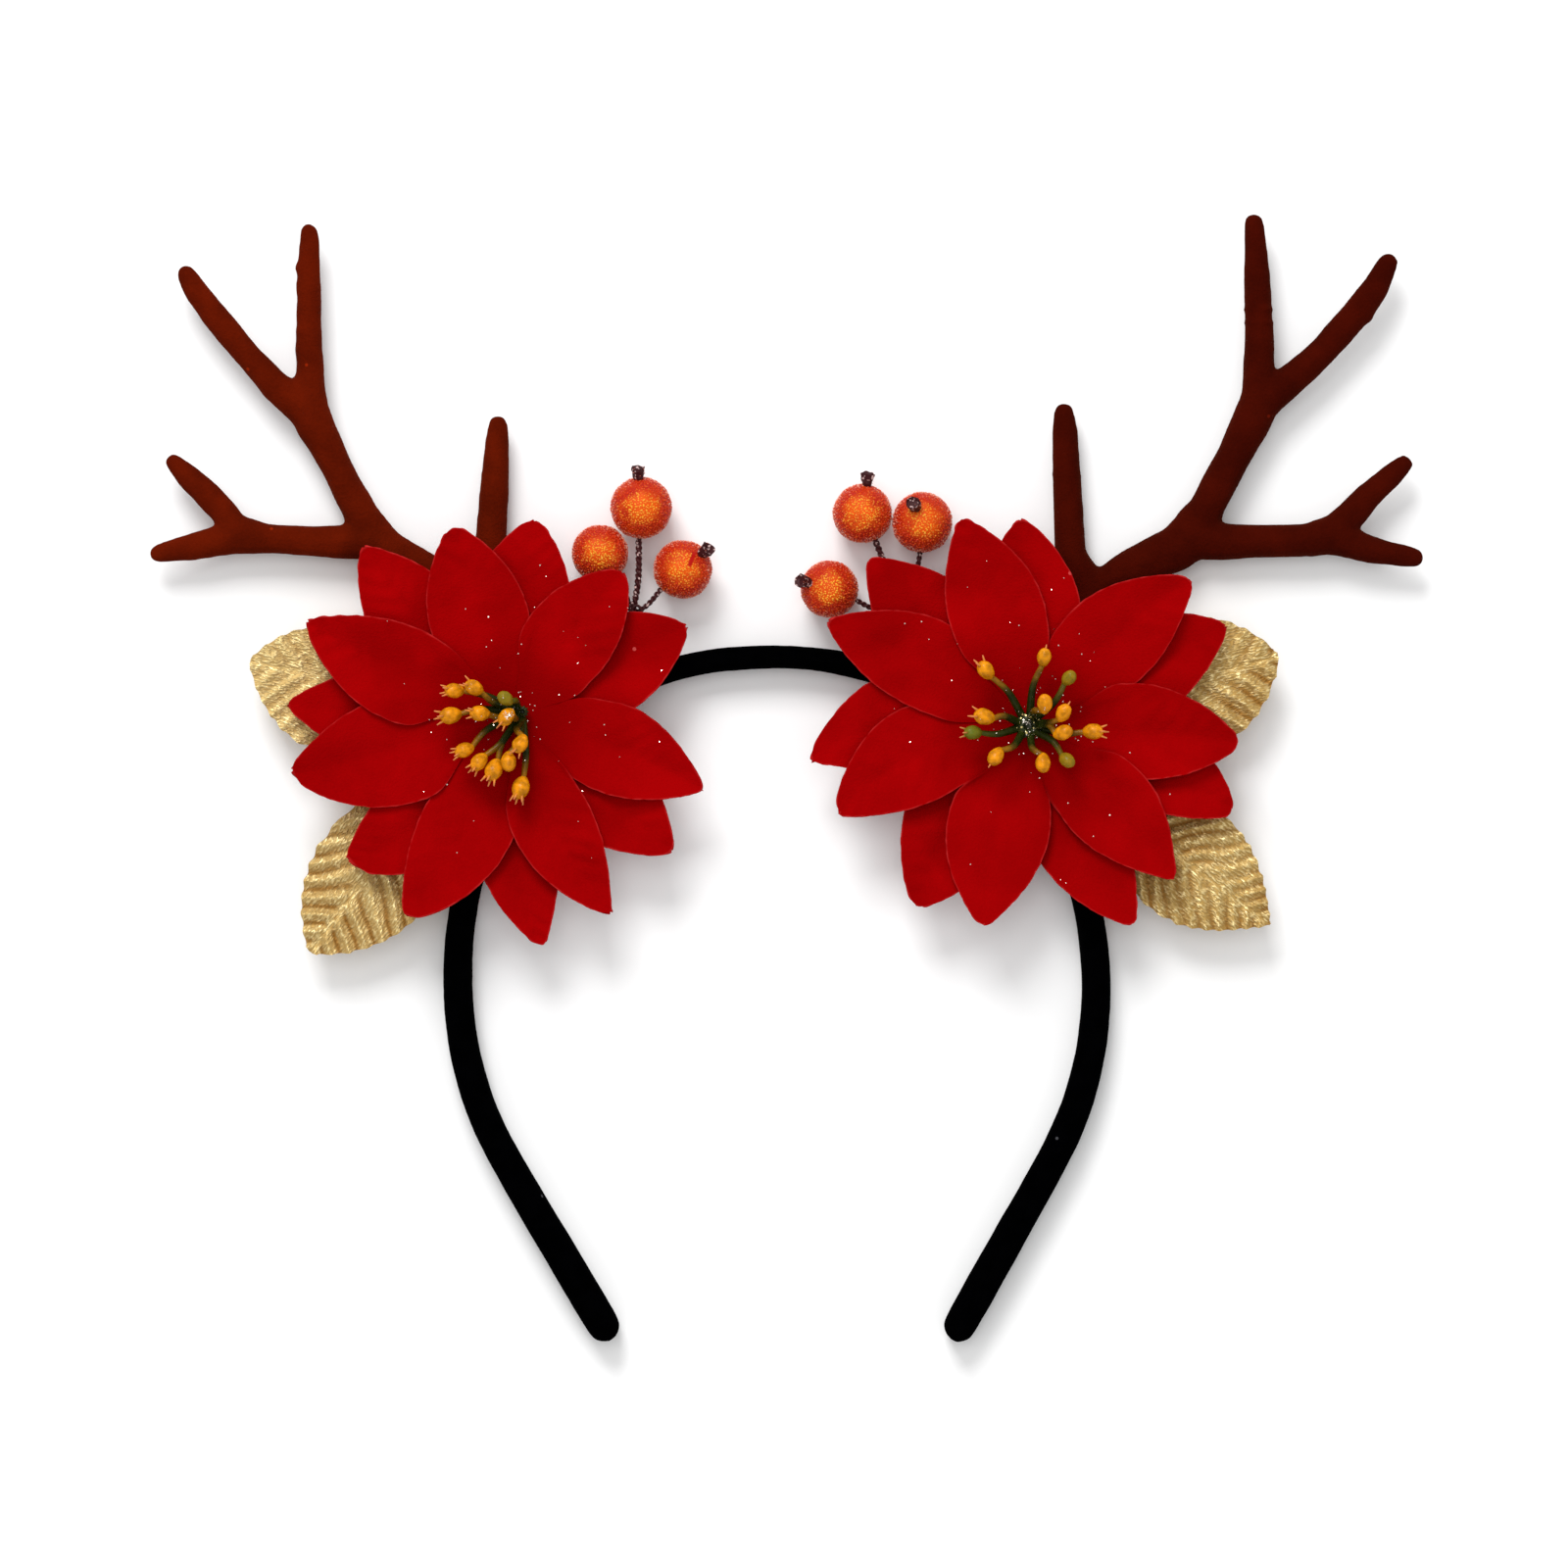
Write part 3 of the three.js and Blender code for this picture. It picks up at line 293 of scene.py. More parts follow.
class HeadbandColours(bpy.types.PropertyGroup):
    band: tint("Band", "Black velvet", 0.0005, 0.0005, 0.0007)
    petal: tint("Petal", "Red velvet", 0.315, 0.0006, 0.0013)
    petal_shade: tint("Petal shade", "Crushed velvet", 0.245, 0.0004, 0.0009)
    antler_left: tint("Left antler", "Brown flock", 0.092, 0.0058, 0.0005)
    antler_right: tint("Right antler", "Brown flock", 0.045, 0.0025, 0.0004)
    gold: tint("Gold", "Gold cloth", 0.46, 0.28, 0.070)
    # Painted shade in the valleys between the ribs.
    gold_rib_shade: tint("Gold valley", "Gold cloth between ribs", 0.27, 0.120, 0.014)
    # Pale gold of painted glints on the threads, also used for painted light on the leaves.
    gold_glint: tint("Gold light", "Shining threads", 0.98, 0.80, 0.40)
    bud: tint("Bud", "Yellow plastic", 0.60, 0.215, 0.003)
    unripe: tint("Green bud", "Unripe bud", 0.075, 0.125, 0.008)
    stalk: tint("Stalk", "Green plastic", 0.015, 0.020, 0.002)
    # The orange skin and golden frost show a painted highlight on top of each berry; the red ones lie below
    # it.
    berry: tint("Berry", "Orange skin", 0.70, 0.085, 0.002)
    berry_red: tint("Berry blush", "Red skin", 0.40, 0.014, 0.002)
    # The pale frost colour carries the painted sheen down the berry's sides.
    frost: tint("Frost", "Pale frost", 0.92, 0.46, 0.33)
    frost_red: tint("Frost red", "Red frost", 0.70, 0.045, 0.004)
    frost_highlight: tint("Frost light", "Golden frost", 1.0, 0.50, 0.040)
    wire: tint("Wire", "Wrapped wire", 0.040, 0.0045, 0.0055)
    floor: tint("Floor", "Pale floor", 0.96, 0.96, 0.96)


# Numbers and places
def clamp(value):
    return min(max(value, 0.0), 1.0)


def ease(value, low, high):
    part = clamp((value - low) / (high - low))
    return part * part * (3 - 2 * part)


def place_along(origin, turn, reach, sideways):
    """The x and y of a point that lies reach from the origin towards turn, and sideways to the left of it."""
    x = origin.x + reach * math.cos(turn) - sideways * math.sin(turn)
    y = origin.y + reach * math.sin(turn) + sideways * math.cos(turn)
    return x, y


def drop_on(tree, x, y):
    """Where a line straight down first meets the tree, and the normal there."""
    hit, normal, *_ = tree.ray_cast(Vector((x, y, 0.1)), Vector((0, 0, -1)))
    return hit, normal


# Meshes
def only(obj):
    bpy.ops.object.select_all(action="DESELECT")
    obj.select_set(True)
    bpy.context.view_layer.objects.active = obj


def apply_modifiers(obj):
    only(obj)
    for name in [modifier.name for modifier in obj.modifiers]:
        bpy.ops.object.modifier_apply(modifier=name)


def add_modifier(obj, kind, **settings):
    modifier = obj.modifiers.new(kind.title(), kind)
    for key, value in settings.items():
        setattr(modifier, key, value)
    return modifier


def named(obj, name):
    obj.name = name
    obj.data.name = name
    return obj


def settle(obj):
    only(obj)
    bpy.ops.object.transform_apply(location=True, rotation=True, scale=True)


def join(objects, name):
    bpy.ops.object.select_all(action="DESELECT")
    for obj in objects:
        obj.select_set(True)
    bpy.context.view_layer.objects.active = objects[0]
    if len(objects) > 1:
        bpy.ops.object.join()
    return named(bpy.context.view_layer.objects.active, name)


def add_object(name, data):
    obj = bpy.data.objects.new(name, data)
    bpy.context.scene.collection.objects.link(obj)
    return obj


def mesh_object(name, points, faces):
    mesh = bpy.data.meshes.new(name)
    mesh.from_pydata(points, [], faces)
    mesh.update()
    return add_object(name, mesh)


def primitive(add, **settings):
    bpy.ops.object.select_all(action="DESELECT")
    add(**settings)
    return bpy.context.view_layer.objects.active


def cylinder(vertices, radius, depth, centre=(0, 0, 0)):
    return primitive(
        bpy.ops.mesh.primitive_cylinder_add,
        vertices=vertices,
        radius=radius,
        depth=depth,
        location=centre,
        end_fill_type="NGON",
    )


def edit_end(obj, facing):
    """Starts an edit of a cylinder with its upper end picked, or its lower end where facing is -1."""
    bpy.ops.object.mode_set(mode="EDIT")
    bpy.ops.mesh.select_all(action="DESELECT")
    shape = bmesh.from_edit_mesh(obj.data)
    for face in shape.faces:
        face.select = face.normal.z * facing > 0.9
    bmesh.update_edit_mesh(obj.data)


def inset_end(inset, rise):
    bpy.ops.mesh.inset(thickness=inset)
    bpy.ops.transform.translate(value=(0, 0, rise))


def aim_mesh(obj, aim):
    """Turns an upright mesh to point along aim."""
    obj.data.transform(UP.rotation_difference(aim).to_matrix().to_4x4())


def node_copy(source, name):
    obj = add_object(name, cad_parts[source].data.copy())
    obj.data.name = name
    obj.data.materials.clear()
    only(obj)
    bpy.ops.mesh.customdata_custom_splitnormals_clear()
    bpy.ops.object.mode_set(mode="EDIT")
    bpy.ops.mesh.select_all(action="SELECT")
    bpy.ops.mesh.remove_doubles(threshold=0.01 * MM)
    bpy.ops.mesh.tris_convert_to_quads()
    bpy.ops.object.mode_set(mode="OBJECT")
    return obj


def move_points(obj, places):
    for vertex, place in zip(obj.data.vertices, places):
        vertex.co = place
    obj.data.update()


def roughen(obj, steps, extra=None):
    """Moves the points along their normals by noise. steps holds (size, height) pairs."""
    moved = []
    for vertex in obj.data.vertices:
        height = sum(rise * noise.noise(vertex.co / size) for size, rise in steps)
        if extra:
            height += extra(vertex.co)
        moved.append(vertex.co + vertex.normal * height)
    move_points(obj, moved)


def smooth(obj, angle=None):
    only(obj)
    if angle is None:
        bpy.ops.object.shade_smooth()
    else:
        bpy.ops.object.shade_smooth_by_angle(angle=math.radians(angle))


def paint(obj, *materials):
    obj.data.materials.clear()
    for skin in materials:
        obj.data.materials.append(skin)


def set_values(obj, name, values):
    layer = obj.data.attributes.new(name, "FLOAT", "POINT")
    layer.data.foreach_set("value", values)


def set_value(obj, **values):
    """Gives each named attribute one value on all points."""
    for name, value in values.items():
        set_values(obj, name, [float(value)] * len(obj.data.vertices))



def hand_in(obj, slot, *nodes):
    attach(obj, "root")
    if nodes:
        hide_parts(*nodes)
    return obj


def tree_of(objects):
    points = []
    faces = []
    for obj in objects:
        start = len(points)
        points += [vertex.co.copy() for vertex in obj.data.vertices]
        faces += [[start + index for index in face.vertices] for face in obj.data.polygons]
    return BVHTree.FromPolygons(points, faces)


def tube(name, points, radii, strands=1, twist=0.0, pitch=1.0, sides=3):
    """One or more round strands along points, twisted round each other."""
    curve = bpy.data.curves.new(name, "CURVE")
    curve.dimensions = "3D"
    curve.bevel_depth = 1.0
    curve.bevel_resolution = sides
    curve.use_fill_caps = True
    for strand in range(strands):
        spline = curve.splines.new("POLY")
        spline.points.add(len(points) - 1)
        run = 0.0
        for i, point in enumerate(points):
            before = points[max(i - 1, 0)]
            after = points[min(i + 1, len(points) - 1)]
            along = (after - before).normalized()
            run += (point - before).length
            across = along.cross(UP)
            across = across.normalized() if across.length > 1e-4 else Vector((1, 0, 0))
            upright = across.cross(along)
            turn = 2 * math.pi * (strand / strands + run / pitch)
            offset = (across * math.cos(turn) + upright * math.sin(turn)) * twist
            spline.points[i].co = (*(point + offset), 1)
            spline.points[i].radius = radii[i]
    only(add_object(name, curve))
    bpy.ops.object.convert(target="MESH")
    return bpy.context.view_layer.objects.active


def route(corners, steps):
    """A smooth line through the corners."""
    points = []
    last = len(corners) - 1
    for i in range(last):
        a, b = corners[i], corners[i + 1]
        before = corners[max(i - 1, 0)]
        after = corners[min(i + 2, last)]
        for k in range(steps):
            t = k / steps
            points.append(
                0.5
                * (
                    2 * a
                    + (b - before) * t
                    + (2 * before - 5 * a + 4 * b - after) * t * t
                    + (3 * a - before - 3 * b + after) * t * t * t
                )
            )
    points.append(corners[-1])
    return points


# Materials
def new_group(name, inputs, outputs):
    tree = bpy.data.node_groups.new(name, "ShaderNodeTree")
    for socket, kind, value in inputs:
        made = tree.interface.new_socket(name=socket, in_out="INPUT", socket_type=kind)
        made.default_value = value
    for socket, kind in outputs:
        tree.interface.new_socket(name=socket, in_out="OUTPUT", socket_type=kind)
    return tree, tree.nodes.new("NodeGroupInput"), tree.nodes.new("NodeGroupOutput")


def node(tree, kind, links=None, **settings):
    """Adds a node. links maps an input's name or number to a socket or a value."""
    made = tree.nodes.new(kind)
    for key, value in settings.items():
        setattr(made, key, value)
    for key, value in (links or {}).items():
        socket = made.inputs[key]
        if isinstance(value, bpy.types.NodeSocket):
            tree.links.new(value, socket)
        else:
            socket.default_value = value
    return made


def maths(tree, operation, *values, clamp=False):
    links = {i: value for i, value in enumerate(values)}
    return node(tree, "ShaderNodeMath", links, operation=operation, use_clamp=clamp).outputs[0]


def blend_colours(tree, factor, a, b):
    return node(tree, "ShaderNodeMix", {0: factor, 6: a, 7: b}, data_type="RGBA").outputs[2]


def attribute(tree, name):
    return node(tree, "ShaderNodeAttribute", attribute_name=name).outputs["Fac"]


def object_place(tree):
    return node(tree, "ShaderNodeTexCoord").outputs["Object"]


def clouds(tree, place, scale, detail, span=None, roughness=0.5):
    """Noise from 0 to 1. A span is stretched to fill it, and what lies beyond is cut off."""
    links = {"Vector": place, "Scale": scale, "Detail": detail, "Roughness": roughness}
    value = node(tree, "ShaderNodeTexNoise", links).outputs["Fac"]
    if span:
        value = node(tree, "ShaderNodeMapRange", {0: value, 1: span[0], 2: span[1]}).outputs[0]
    return value


def specks(tree, place, scale, share):
    """Picks a share of the cells of a pattern. Gives the picks and how far each place is from its cell."""
    cells = node(tree, "ShaderNodeTexVoronoi", {"Vector": place, "Scale": scale}, feature="F1")
    pick = node(tree, "ShaderNodeSeparateColor", {0: cells.outputs["Color"]}).outputs[0]
    return maths(tree, "LESS_THAN", pick, share), cells.outputs["Distance"]


def pile_group():
    """Cloth or flock with a pile: crushed patches, a fine grain and specks of lint."""
    tree, given, result = new_group(
        "Pile",
        (
            ("Colour", "NodeSocketColor", (0.5, 0.5, 0.5, 1)),
            ("Shade", "NodeSocketColor", (0.2, 0.2, 0.2, 1)),
            ("Lint", "NodeSocketColor", (0.8, 0.8, 0.8, 1)),
            ("Patch scale", "NodeSocketFloat", 120.0),
            ("Grain scale", "NodeSocketFloat", 2600.0),
            ("Grain", "NodeSocketFloat", 0.3),
            ("Lint amount", "NodeSocketFloat", 0.02),
        ),
        (("Colour", "NodeSocketColor"), ("Height", "NodeSocketFloat")),
    )
    place = object_place(tree)
    patch = clouds(tree, place, given.outputs["Patch scale"], 3.0, (0.36, 0.66), 0.55)
    grain = clouds(tree, place, given.outputs["Grain scale"], 2.0, (0.3, 0.7), 0.7)
    grained = maths(tree, "MULTIPLY", maths(tree, "SUBTRACT", grain, 0.5), given.outputs["Grain"])
    share = maths(tree, "ADD", patch, grained, clamp=True)
    colour = blend_colours(tree, share, given.outputs["Shade"], given.outputs["Colour"])
    chosen, apart = specks(tree, place, 420.0, given.outputs["Lint amount"])
    near = maths(tree, "LESS_THAN", apart, 0.16)
    colour = blend_colours(tree, maths(tree, "MULTIPLY", chosen, near), colour, given.outputs["Lint"])
    tree.links.new(colour, result.inputs["Colour"])
    tree.links.new(grain, result.inputs["Height"])
    return tree


SHARED = {}


def material(name, slot_values):
    made = bpy.data.materials.new(name)
    made.use_nodes = True
    shader = made.node_tree.nodes["Principled BSDF"]
    for key, value in slot_values.items():
        shader.inputs[key].default_value = value
    return made, made.node_tree, shader


def cover(tree, shader, colour, height=None, relief=0.0):
    """Gives the shader its colour, and its relief where there is a height."""
    tree.links.new(colour, shader.inputs["Base Color"])
    if height is not None:
        made = node(tree, "ShaderNodeBump", {"Height": height, "Distance": relief, "Strength": 1.0})
        tree.links.new(made.outputs["Normal"], shader.inputs["Normal"])


def pile_material(name, pile_values, relief, shader_values):
    made, tree, shader = material(name, {"Roughness": 1.0, **shader_values})
    pile = node(tree, "ShaderNodeGroup", pile_values, node_tree=SHARED["pile"])
    cover(tree, shader, pile.outputs["Colour"], pile.outputs["Height"], relief)
    return made, tree, shader, pile.outputs["Colour"]


def scaled(colour, amount):
    return (colour[0] * amount, colour[1] * amount, colour[2] * amount, 1)


def band_material(colours):
    made, *_ = pile_material(
        "Black velvet",
        {
            "Colour": colours.band[:],
            "Shade": scaled(colours.band, 0.4),
            "Lint": (0.05, 0.05, 0.055, 1),
            "Patch scale": 300.0,
            "Grain scale": 2400.0,
            "Grain": 0.6,
            "Lint amount": 0.012,
        },
        0.08 * MM,
        {"Specular IOR Level": 0.0, "Sheen Weight": 0.004, "Sheen Roughness": 0.35},
    )
    return made


def petal_material(colours):
    made, tree, shader, velvet = pile_material(
        "Red velvet",
        {
            "Colour": colours.petal[:],
            "Shade": colours.petal_shade[:],
            "Lint": (0.50, 0.06, 0.055, 1),
            "Patch scale": 60.0,
            "Grain scale": 2100.0,
            "Grain": 0.45,
            "Lint amount": 0.003,
        },
        0.07 * MM,
        {
            "Specular IOR Level": 0.0,
            "Sheen Weight": 0.05,
            "Sheen Roughness": 0.5,
            "Sheen Tint": (1.0, 0.03, 0.04, 1),
        },
    )
    # Painted shade darkens the velvet near the flower's middle, where the hollow lies in shadow.
    colour = blend_colours(tree, attribute(tree, "centre_shade"), velvet, scaled(colours.petal_shade, 0.45))
    # The cut edges and tips are paler: the frayed pile, with a painted highlight where they catch light.
    cover(tree, shader, blend_colours(tree, attribute(tree, "edge_highlight"), colour, (0.46, 0.022, 0.022, 1)))
    return made


def antler_material(name, colour):
    made, tree, shader, flock = pile_material(
        name,
        {
            "Colour": scaled(colour, 1.15),
            "Shade": scaled(colour, 0.78),
            "Lint": scaled(colour, 2.4),
            "Patch scale": 110.0,
            "Grain scale": 1900.0,
            "Grain": 0.5,
            "Lint amount": 0.012,
        },
        0.10 * MM,
        {
            "Specular IOR Level": 0.02,
            "Sheen Weight": 0.05,
            "Sheen Roughness": 0.4,
            "Sheen Tint": (1.0, 0.22, 0.06, 1),
        },
    )
    cover(tree, shader, blend_colours(tree, attribute(tree, "wear"), flock, scaled(colour, 1.6)))
    return made


def gold_material(colours):
    made, tree, shader = material("Gold cloth", {"Metallic": 0.75, "Specular IOR Level": 0.5})
    place = node(tree, "ShaderNodeUVMap", uv_map="thread").outputs["UV"]
    turn = {"Vector": place, "Rotation": (0, 0, math.radians(12)), "Scale": (850, 2300, 1)}
    turned = node(tree, "ShaderNodeMapping", turn).outputs[0]
    strokes = clouds(tree, turned, 1.0, 1.0, (0.41, 0.64))
    cloud = clouds(tree, place, 420.0, 3.0, (0.38, 0.62))
    # The thread strokes are the weave, painted with glints of pale gold.
    share = maths(tree, "MULTIPLY", strokes, maths(tree, "ADD", maths(tree, "MULTIPLY", cloud, 0.75), 0.25))
    colour = blend_colours(tree, share, colours.gold[:], colours.gold_glint[:])
    # Painted light brightens some leaves, the left ones most.
    colour = blend_colours(tree, attribute(tree, "pale"), colour, colours.gold_glint[:])
    # Painted shade darkens the valleys between the ribs.
    colour = blend_colours(tree, attribute(tree, "rib_shade"), colour, colours.gold_rib_shade[:])
    cover(tree, shader, colour, strokes, 0.17 * MM)
    rough = node(tree, "ShaderNodeMapRange", {0: share, 1: 0.0, 2: 1.0, 3: 0.66, 4: 0.40}).outputs[0]
    tree.links.new(rough, shader.inputs["Roughness"])
    return made


def bud_material(colours):
    made, tree, shader = material(
        "Bud plastic",
        {"Roughness": 0.24, "Specular IOR Level": 0.12, "Subsurface Weight": 0.05, "Subsurface Scale": 0.001},
    )
    cloud = clouds(tree, object_place(tree), 800.0, 2.0, (0.34, 0.66))
    green = blend_colours(tree, cloud, scaled(colours.stalk, 0.75), scaled(colours.stalk, 1.35))
    yellow = blend_colours(tree, cloud, scaled(colours.bud, 0.70), scaled(colours.bud, 1.30))
    colour = blend_colours(tree, attribute(tree, "ripe"), colours.unripe[:], yellow)
    colour = blend_colours(tree, attribute(tree, "fruit"), green, colour)
    colour = blend_colours(tree, attribute(tree, "prong"), colour, (0.62, 0.20, 0.07, 1))
    cover(tree, shader, colour, cloud, 0.05 * MM)
    return made


def berry_material(colours):
    made, tree, shader = material("Berry skin", {"Roughness": 0.5, "Specular IOR Level": 0.12})
    place = object_place(tree)
    cloud = maths(tree, "MULTIPLY", maths(tree, "SUBTRACT", clouds(tree, place, 210.0, 3.0), 0.5), 1.6)
    # A painted highlight makes the skin orange on top and leaves the sides red; noise adds blotches of both.
    share = maths(tree, "ADD", attribute(tree, "top_highlight"), cloud, clamp=True)
    colour = blend_colours(tree, share, colours.berry_red[:], colours.berry[:])
    colour = blend_colours(tree, attribute(tree, "scratch"), colour, (0.40, 0.003, 0.001, 1))
    cover(tree, shader, colour, clouds(tree, place, 2000.0, 1.0), 0.14 * MM)
    return made


def frost_material(colours):
    made, tree, shader = material(
        "Frost", {"Roughness": 0.30, "IOR": 1.45, "Transmission Weight": 0.15, "Specular IOR Level": 0.2}
    )
    # A painted highlight turns the frost grains golden on top of the berry.
    colour = blend_colours(tree, attribute(tree, "top_highlight"), colours.frost_red[:], colours.frost_highlight[:])
    # Painted sheen whitens the grains down the sides of the berry.
    cover(tree, shader, blend_colours(tree, attribute(tree, "side_sheen"), colour, colours.frost[:]))
    return made


def wire_material(colours):
    made, tree, shader = material("Wrapped wire", {"Roughness": 0.5, "Specular IOR Level": 0.2})
    place = object_place(tree)
    chosen, _ = specks(tree, place, 2600.0, 0.10)
    # Pale specks: flecks of glitter on the wire, painted as glints.
    colour = blend_colours(tree, chosen, colours.wire[:], (0.55, 0.38, 0.36, 1))
    cover(tree, shader, colour, clouds(tree, place, 1500.0, 2.0), 0.2 * MM)
    return made


def glitter_material():
    made, tree, shader = material("Glitter", {"Metallic": 1.0, "Roughness": 0.25})
    golden = attribute(tree, "golden")
    cover(tree, shader, blend_colours(tree, golden, (0.95, 0.85, 0.75, 1), (1.0, 0.80, 0.34, 1)))
    return made


def calyx_material(colours):
    made, tree, shader = material("Calyx plastic", {"Roughness": 0.5})
    cloud = clouds(tree, object_place(tree), 350.0, 3.0)
    colour = blend_colours(tree, cloud, scaled(colours.stalk, 0.7), scaled(colours.stalk, 1.3))
    cover(tree, shader, colour, cloud, 0.08 * MM)
    return made


# Petals
def half_gap(row, other):
    between = (other[0] - row[0]) % 360
    return math.radians(min(between, 360 - between) / 2)


def petal_edge(share, reach, sector, wide, pointed, width):
    """How far an edge stands from the line to the tip. Near the middle the petals meet in one cloth."""
    free = width / 2 * wide * math.sin(math.pi * (0.984 * share) ** 1.06) ** pointed
    free *= math.sqrt(max(1 - (max(share - 0.975, 0) / 0.025) ** 2, 0))
    joined = reach * math.tan(sector)
    return joined + (free - joined) * ease(share, 0.20, 0.42)


def petal_grid(side, layer, index, sizes):
    """A petal's upper face, with each point's painted highlight and shade, and how free of the middle it is.
    """
    rows = PETALS[side, layer]
    row = rows[index]
    angle, long, left, right, left_point, right_point, lift_share, roll, crease, tier = row
    length, level, lift, cup = LAYERS[layer]
    tip = long * length
    turn = math.radians(angle)
    left_sector = half_gap(row, rows[index - 1])
    right_sector = half_gap(row, rows[(index + 1) % len(rows)])
    start = 1.0 * MM
    hub = 8.5 * MM
    seed = Vector((index * 7.3, 3.1 if side == "left" else 9.7, 1.9 if layer == "front" else 5.3))
    grid = []
    edge_highlights = []
    centre_shades = []
    holds = []
    for i in range(PETAL_ROWS + 1):
        reach = start + (tip - start) * math.sin(math.pi / 2 * i / PETAL_ROWS) ** 0.85 * 0.9995
        share = reach / tip
        leftward = petal_edge(share, reach, left_sector, left, left_point, sizes.petal_width)
        rightward = petal_edge(share, reach, right_sector, right, right_point, sizes.petal_width)
        middle = (leftward - rightward) / 2
        half = (leftward + rightward) / 2
        climb = max(reach - hub, 0) / (tip - hub)
        fade = ease(climb, 0.0, 0.5)
        free = ease(share, 0.26, 0.46)
        line = []
        for j in range(PETAL_COLUMNS + 1):
            across = math.sin(math.pi / 2 * (2 * j / PETAL_COLUMNS - 1))
            beside = across * half
            place = Vector((reach, beside, 0)) / MM
            # The cut edge is a little ragged.
            nick = 0.16 * MM * noise.noise(place * 0.45 + seed) + 0.07 * MM * noise.noise(place * 1.6 + seed)
            sideways = middle + beside + nick * abs(across) ** 5 * free
            # The pressed midrib, the folds that run out from it and the fold along it.
            groove = sizes.petal_vein * math.exp(-((beside / (0.9 * MM)) ** 2)) * (1 - share) ** 0.5 * free
            run = (reach - abs(beside) * 0.9) / (4.2 * MM) + 0.5 * noise.noise(place / 9 + seed)
            fold = max(0.30 + noise.noise(place / 13 + seed * 3), 0.0) * crease**0.5
            fold *= 0.27 * MM * math.cos(2 * math.pi * run) * fade * (1 - across**4)
            spread = beside**2 / (beside**2 + (3.4 * MM) ** 2)
            fold += sizes.petal_fold * crease * (spread - 0.8) * fade * (1 - 0.5 * share)
            # The petal's cup, its roll, its waves and the curl of its tip.
            bow = cup * across * across * fade * (half / sizes.petal_width) * 2
            tilt = math.sin(math.radians(roll)) * sideways * fade
            wave = 0.80 * MM * noise.noise(place / 12 + seed) * fade
            wave += 0.24 * MM * noise.noise(place / 4.5 + seed * 2) * fade
            curl = -0.9 * MM * max(share - 0.8, 0) / 0.2 * (0.5 + noise.noise(seed * 3.3))
            x, y = place_along(FLOWERS[side], turn, reach, sideways)
            shared = 0.35 * MM * noise.noise(Vector((x, y, level)) / (8 * MM))
            rise = lift * lift_share * climb**1.25
            height = level + rise + bow + tilt + wave + curl - groove + fold + shared
            line.append(Vector((x, y, height)))
            # The cut edge and tip are paler, frayed pile plus a painted highlight; painted shade darkens the
            # middle.
            edge_highlight = max(0.0, 1 - (1 - abs(across)) * half / (0.30 * MM))
            tip_highlight = 1 - (tip - reach) / (0.35 * MM)
            edge_highlights.append(clamp(max(edge_highlight, tip_highlight) * (0.55 + noise.noise(place * 0.8 + seed)) * free))
            # Painted shade: darker towards the hollow middle of the flower.
            stray = 3 * MM * noise.noise(place / 8 + seed)
            centre_shades.append(0.5 - 0.5 * ease(reach + stray, 4 * MM, 20 * MM))
            holds.append(ease(share, 0.16, 0.36))
        grid.append(line)
    return grid, edge_highlights, centre_shades, holds


def rest_on(grid, holds, trees, gap):
    """Lifts a sheet's points clear of what lies below, and evens the lift out."""
    rows, columns = len(grid), len(grid[0])
    needed = [[0.0] * columns for _ in range(rows)]
    for i, line in enumerate(grid):
        for j, point in enumerate(line):
            hold = holds[i * columns + j]
            for tree in trees if hold else ():
                hit, _ = drop_on(tree, point.x, point.y)
                if hit:
                    needed[i][j] = max(needed[i][j], hit.z + gap * hold - point.z)
    raises = [list(level) for level in needed]
    for _ in range(24):
        eased = []
        for i in range(rows):
            above = raises[max(i - 1, 0)]
            here = raises[i]
            below = raises[min(i + 1, rows - 1)]
            level = []
            for j in range(columns):
                near = above[j] + below[j] + here[max(j - 1, 0)] + here[min(j + 1, columns - 1)]
                level.append(max(near / 4, needed[i][j]))
            eased.append(level)
        raises = eased
    for line, level in zip(grid, raises):
        for point, rise in zip(line, level):
            point.z += rise


def grid_faces(rows, columns):
    faces = []
    for i in range(rows - 1):
        for j in range(columns - 1):
            a = i * columns + j
            faces.append((a, a + columns, a + columns + 1, a + 1))
    return faces


def cloth(obj, wall):
    add_modifier(obj, "SOLIDIFY", thickness=wall, offset=-1.0, use_even_offset=False, use_rim=True)
    apply_modifiers(obj)
    smooth(obj, 50)


def make_petals(side, layer, below, sizes, red):
    rows = PETALS[side, layer]
    order = sorted(range(len(rows)), key=lambda index: rows[index][-1])
    trees = [tree_of(below)]
    made = []
    faces = grid_faces(PETAL_ROWS + 1, PETAL_COLUMNS + 1)
    for index in order:
        grid, edge_highlights, centre_shades, holds = petal_grid(side, layer, index, sizes)
        rest_on(grid, holds, trees, sizes.petal_wall + sizes.petal_gap)
        points = [point for line in grid for point in line]
        trees.append(BVHTree.FromPolygons(points, faces))
        petal = mesh_object("petal", points, faces)
        set_values(petal, "edge_highlight", edge_highlights)
        set_values(petal, "centre_shade", centre_shades)
        made.append(petal)
    flower = join(made, f"velvet_{layer}_petals_{side}")
    cloth(flower, sizes.petal_wall)
    paint(flower, red)
    hand_in(flower, "velvet_red", f"{layer}_petals_{side}")
    return flower


# Gold leaves
def leaf_edge(share, width, pointed):
    return width / 2 * math.sin(math.pi * clamp(share) ** 1.5) ** pointed


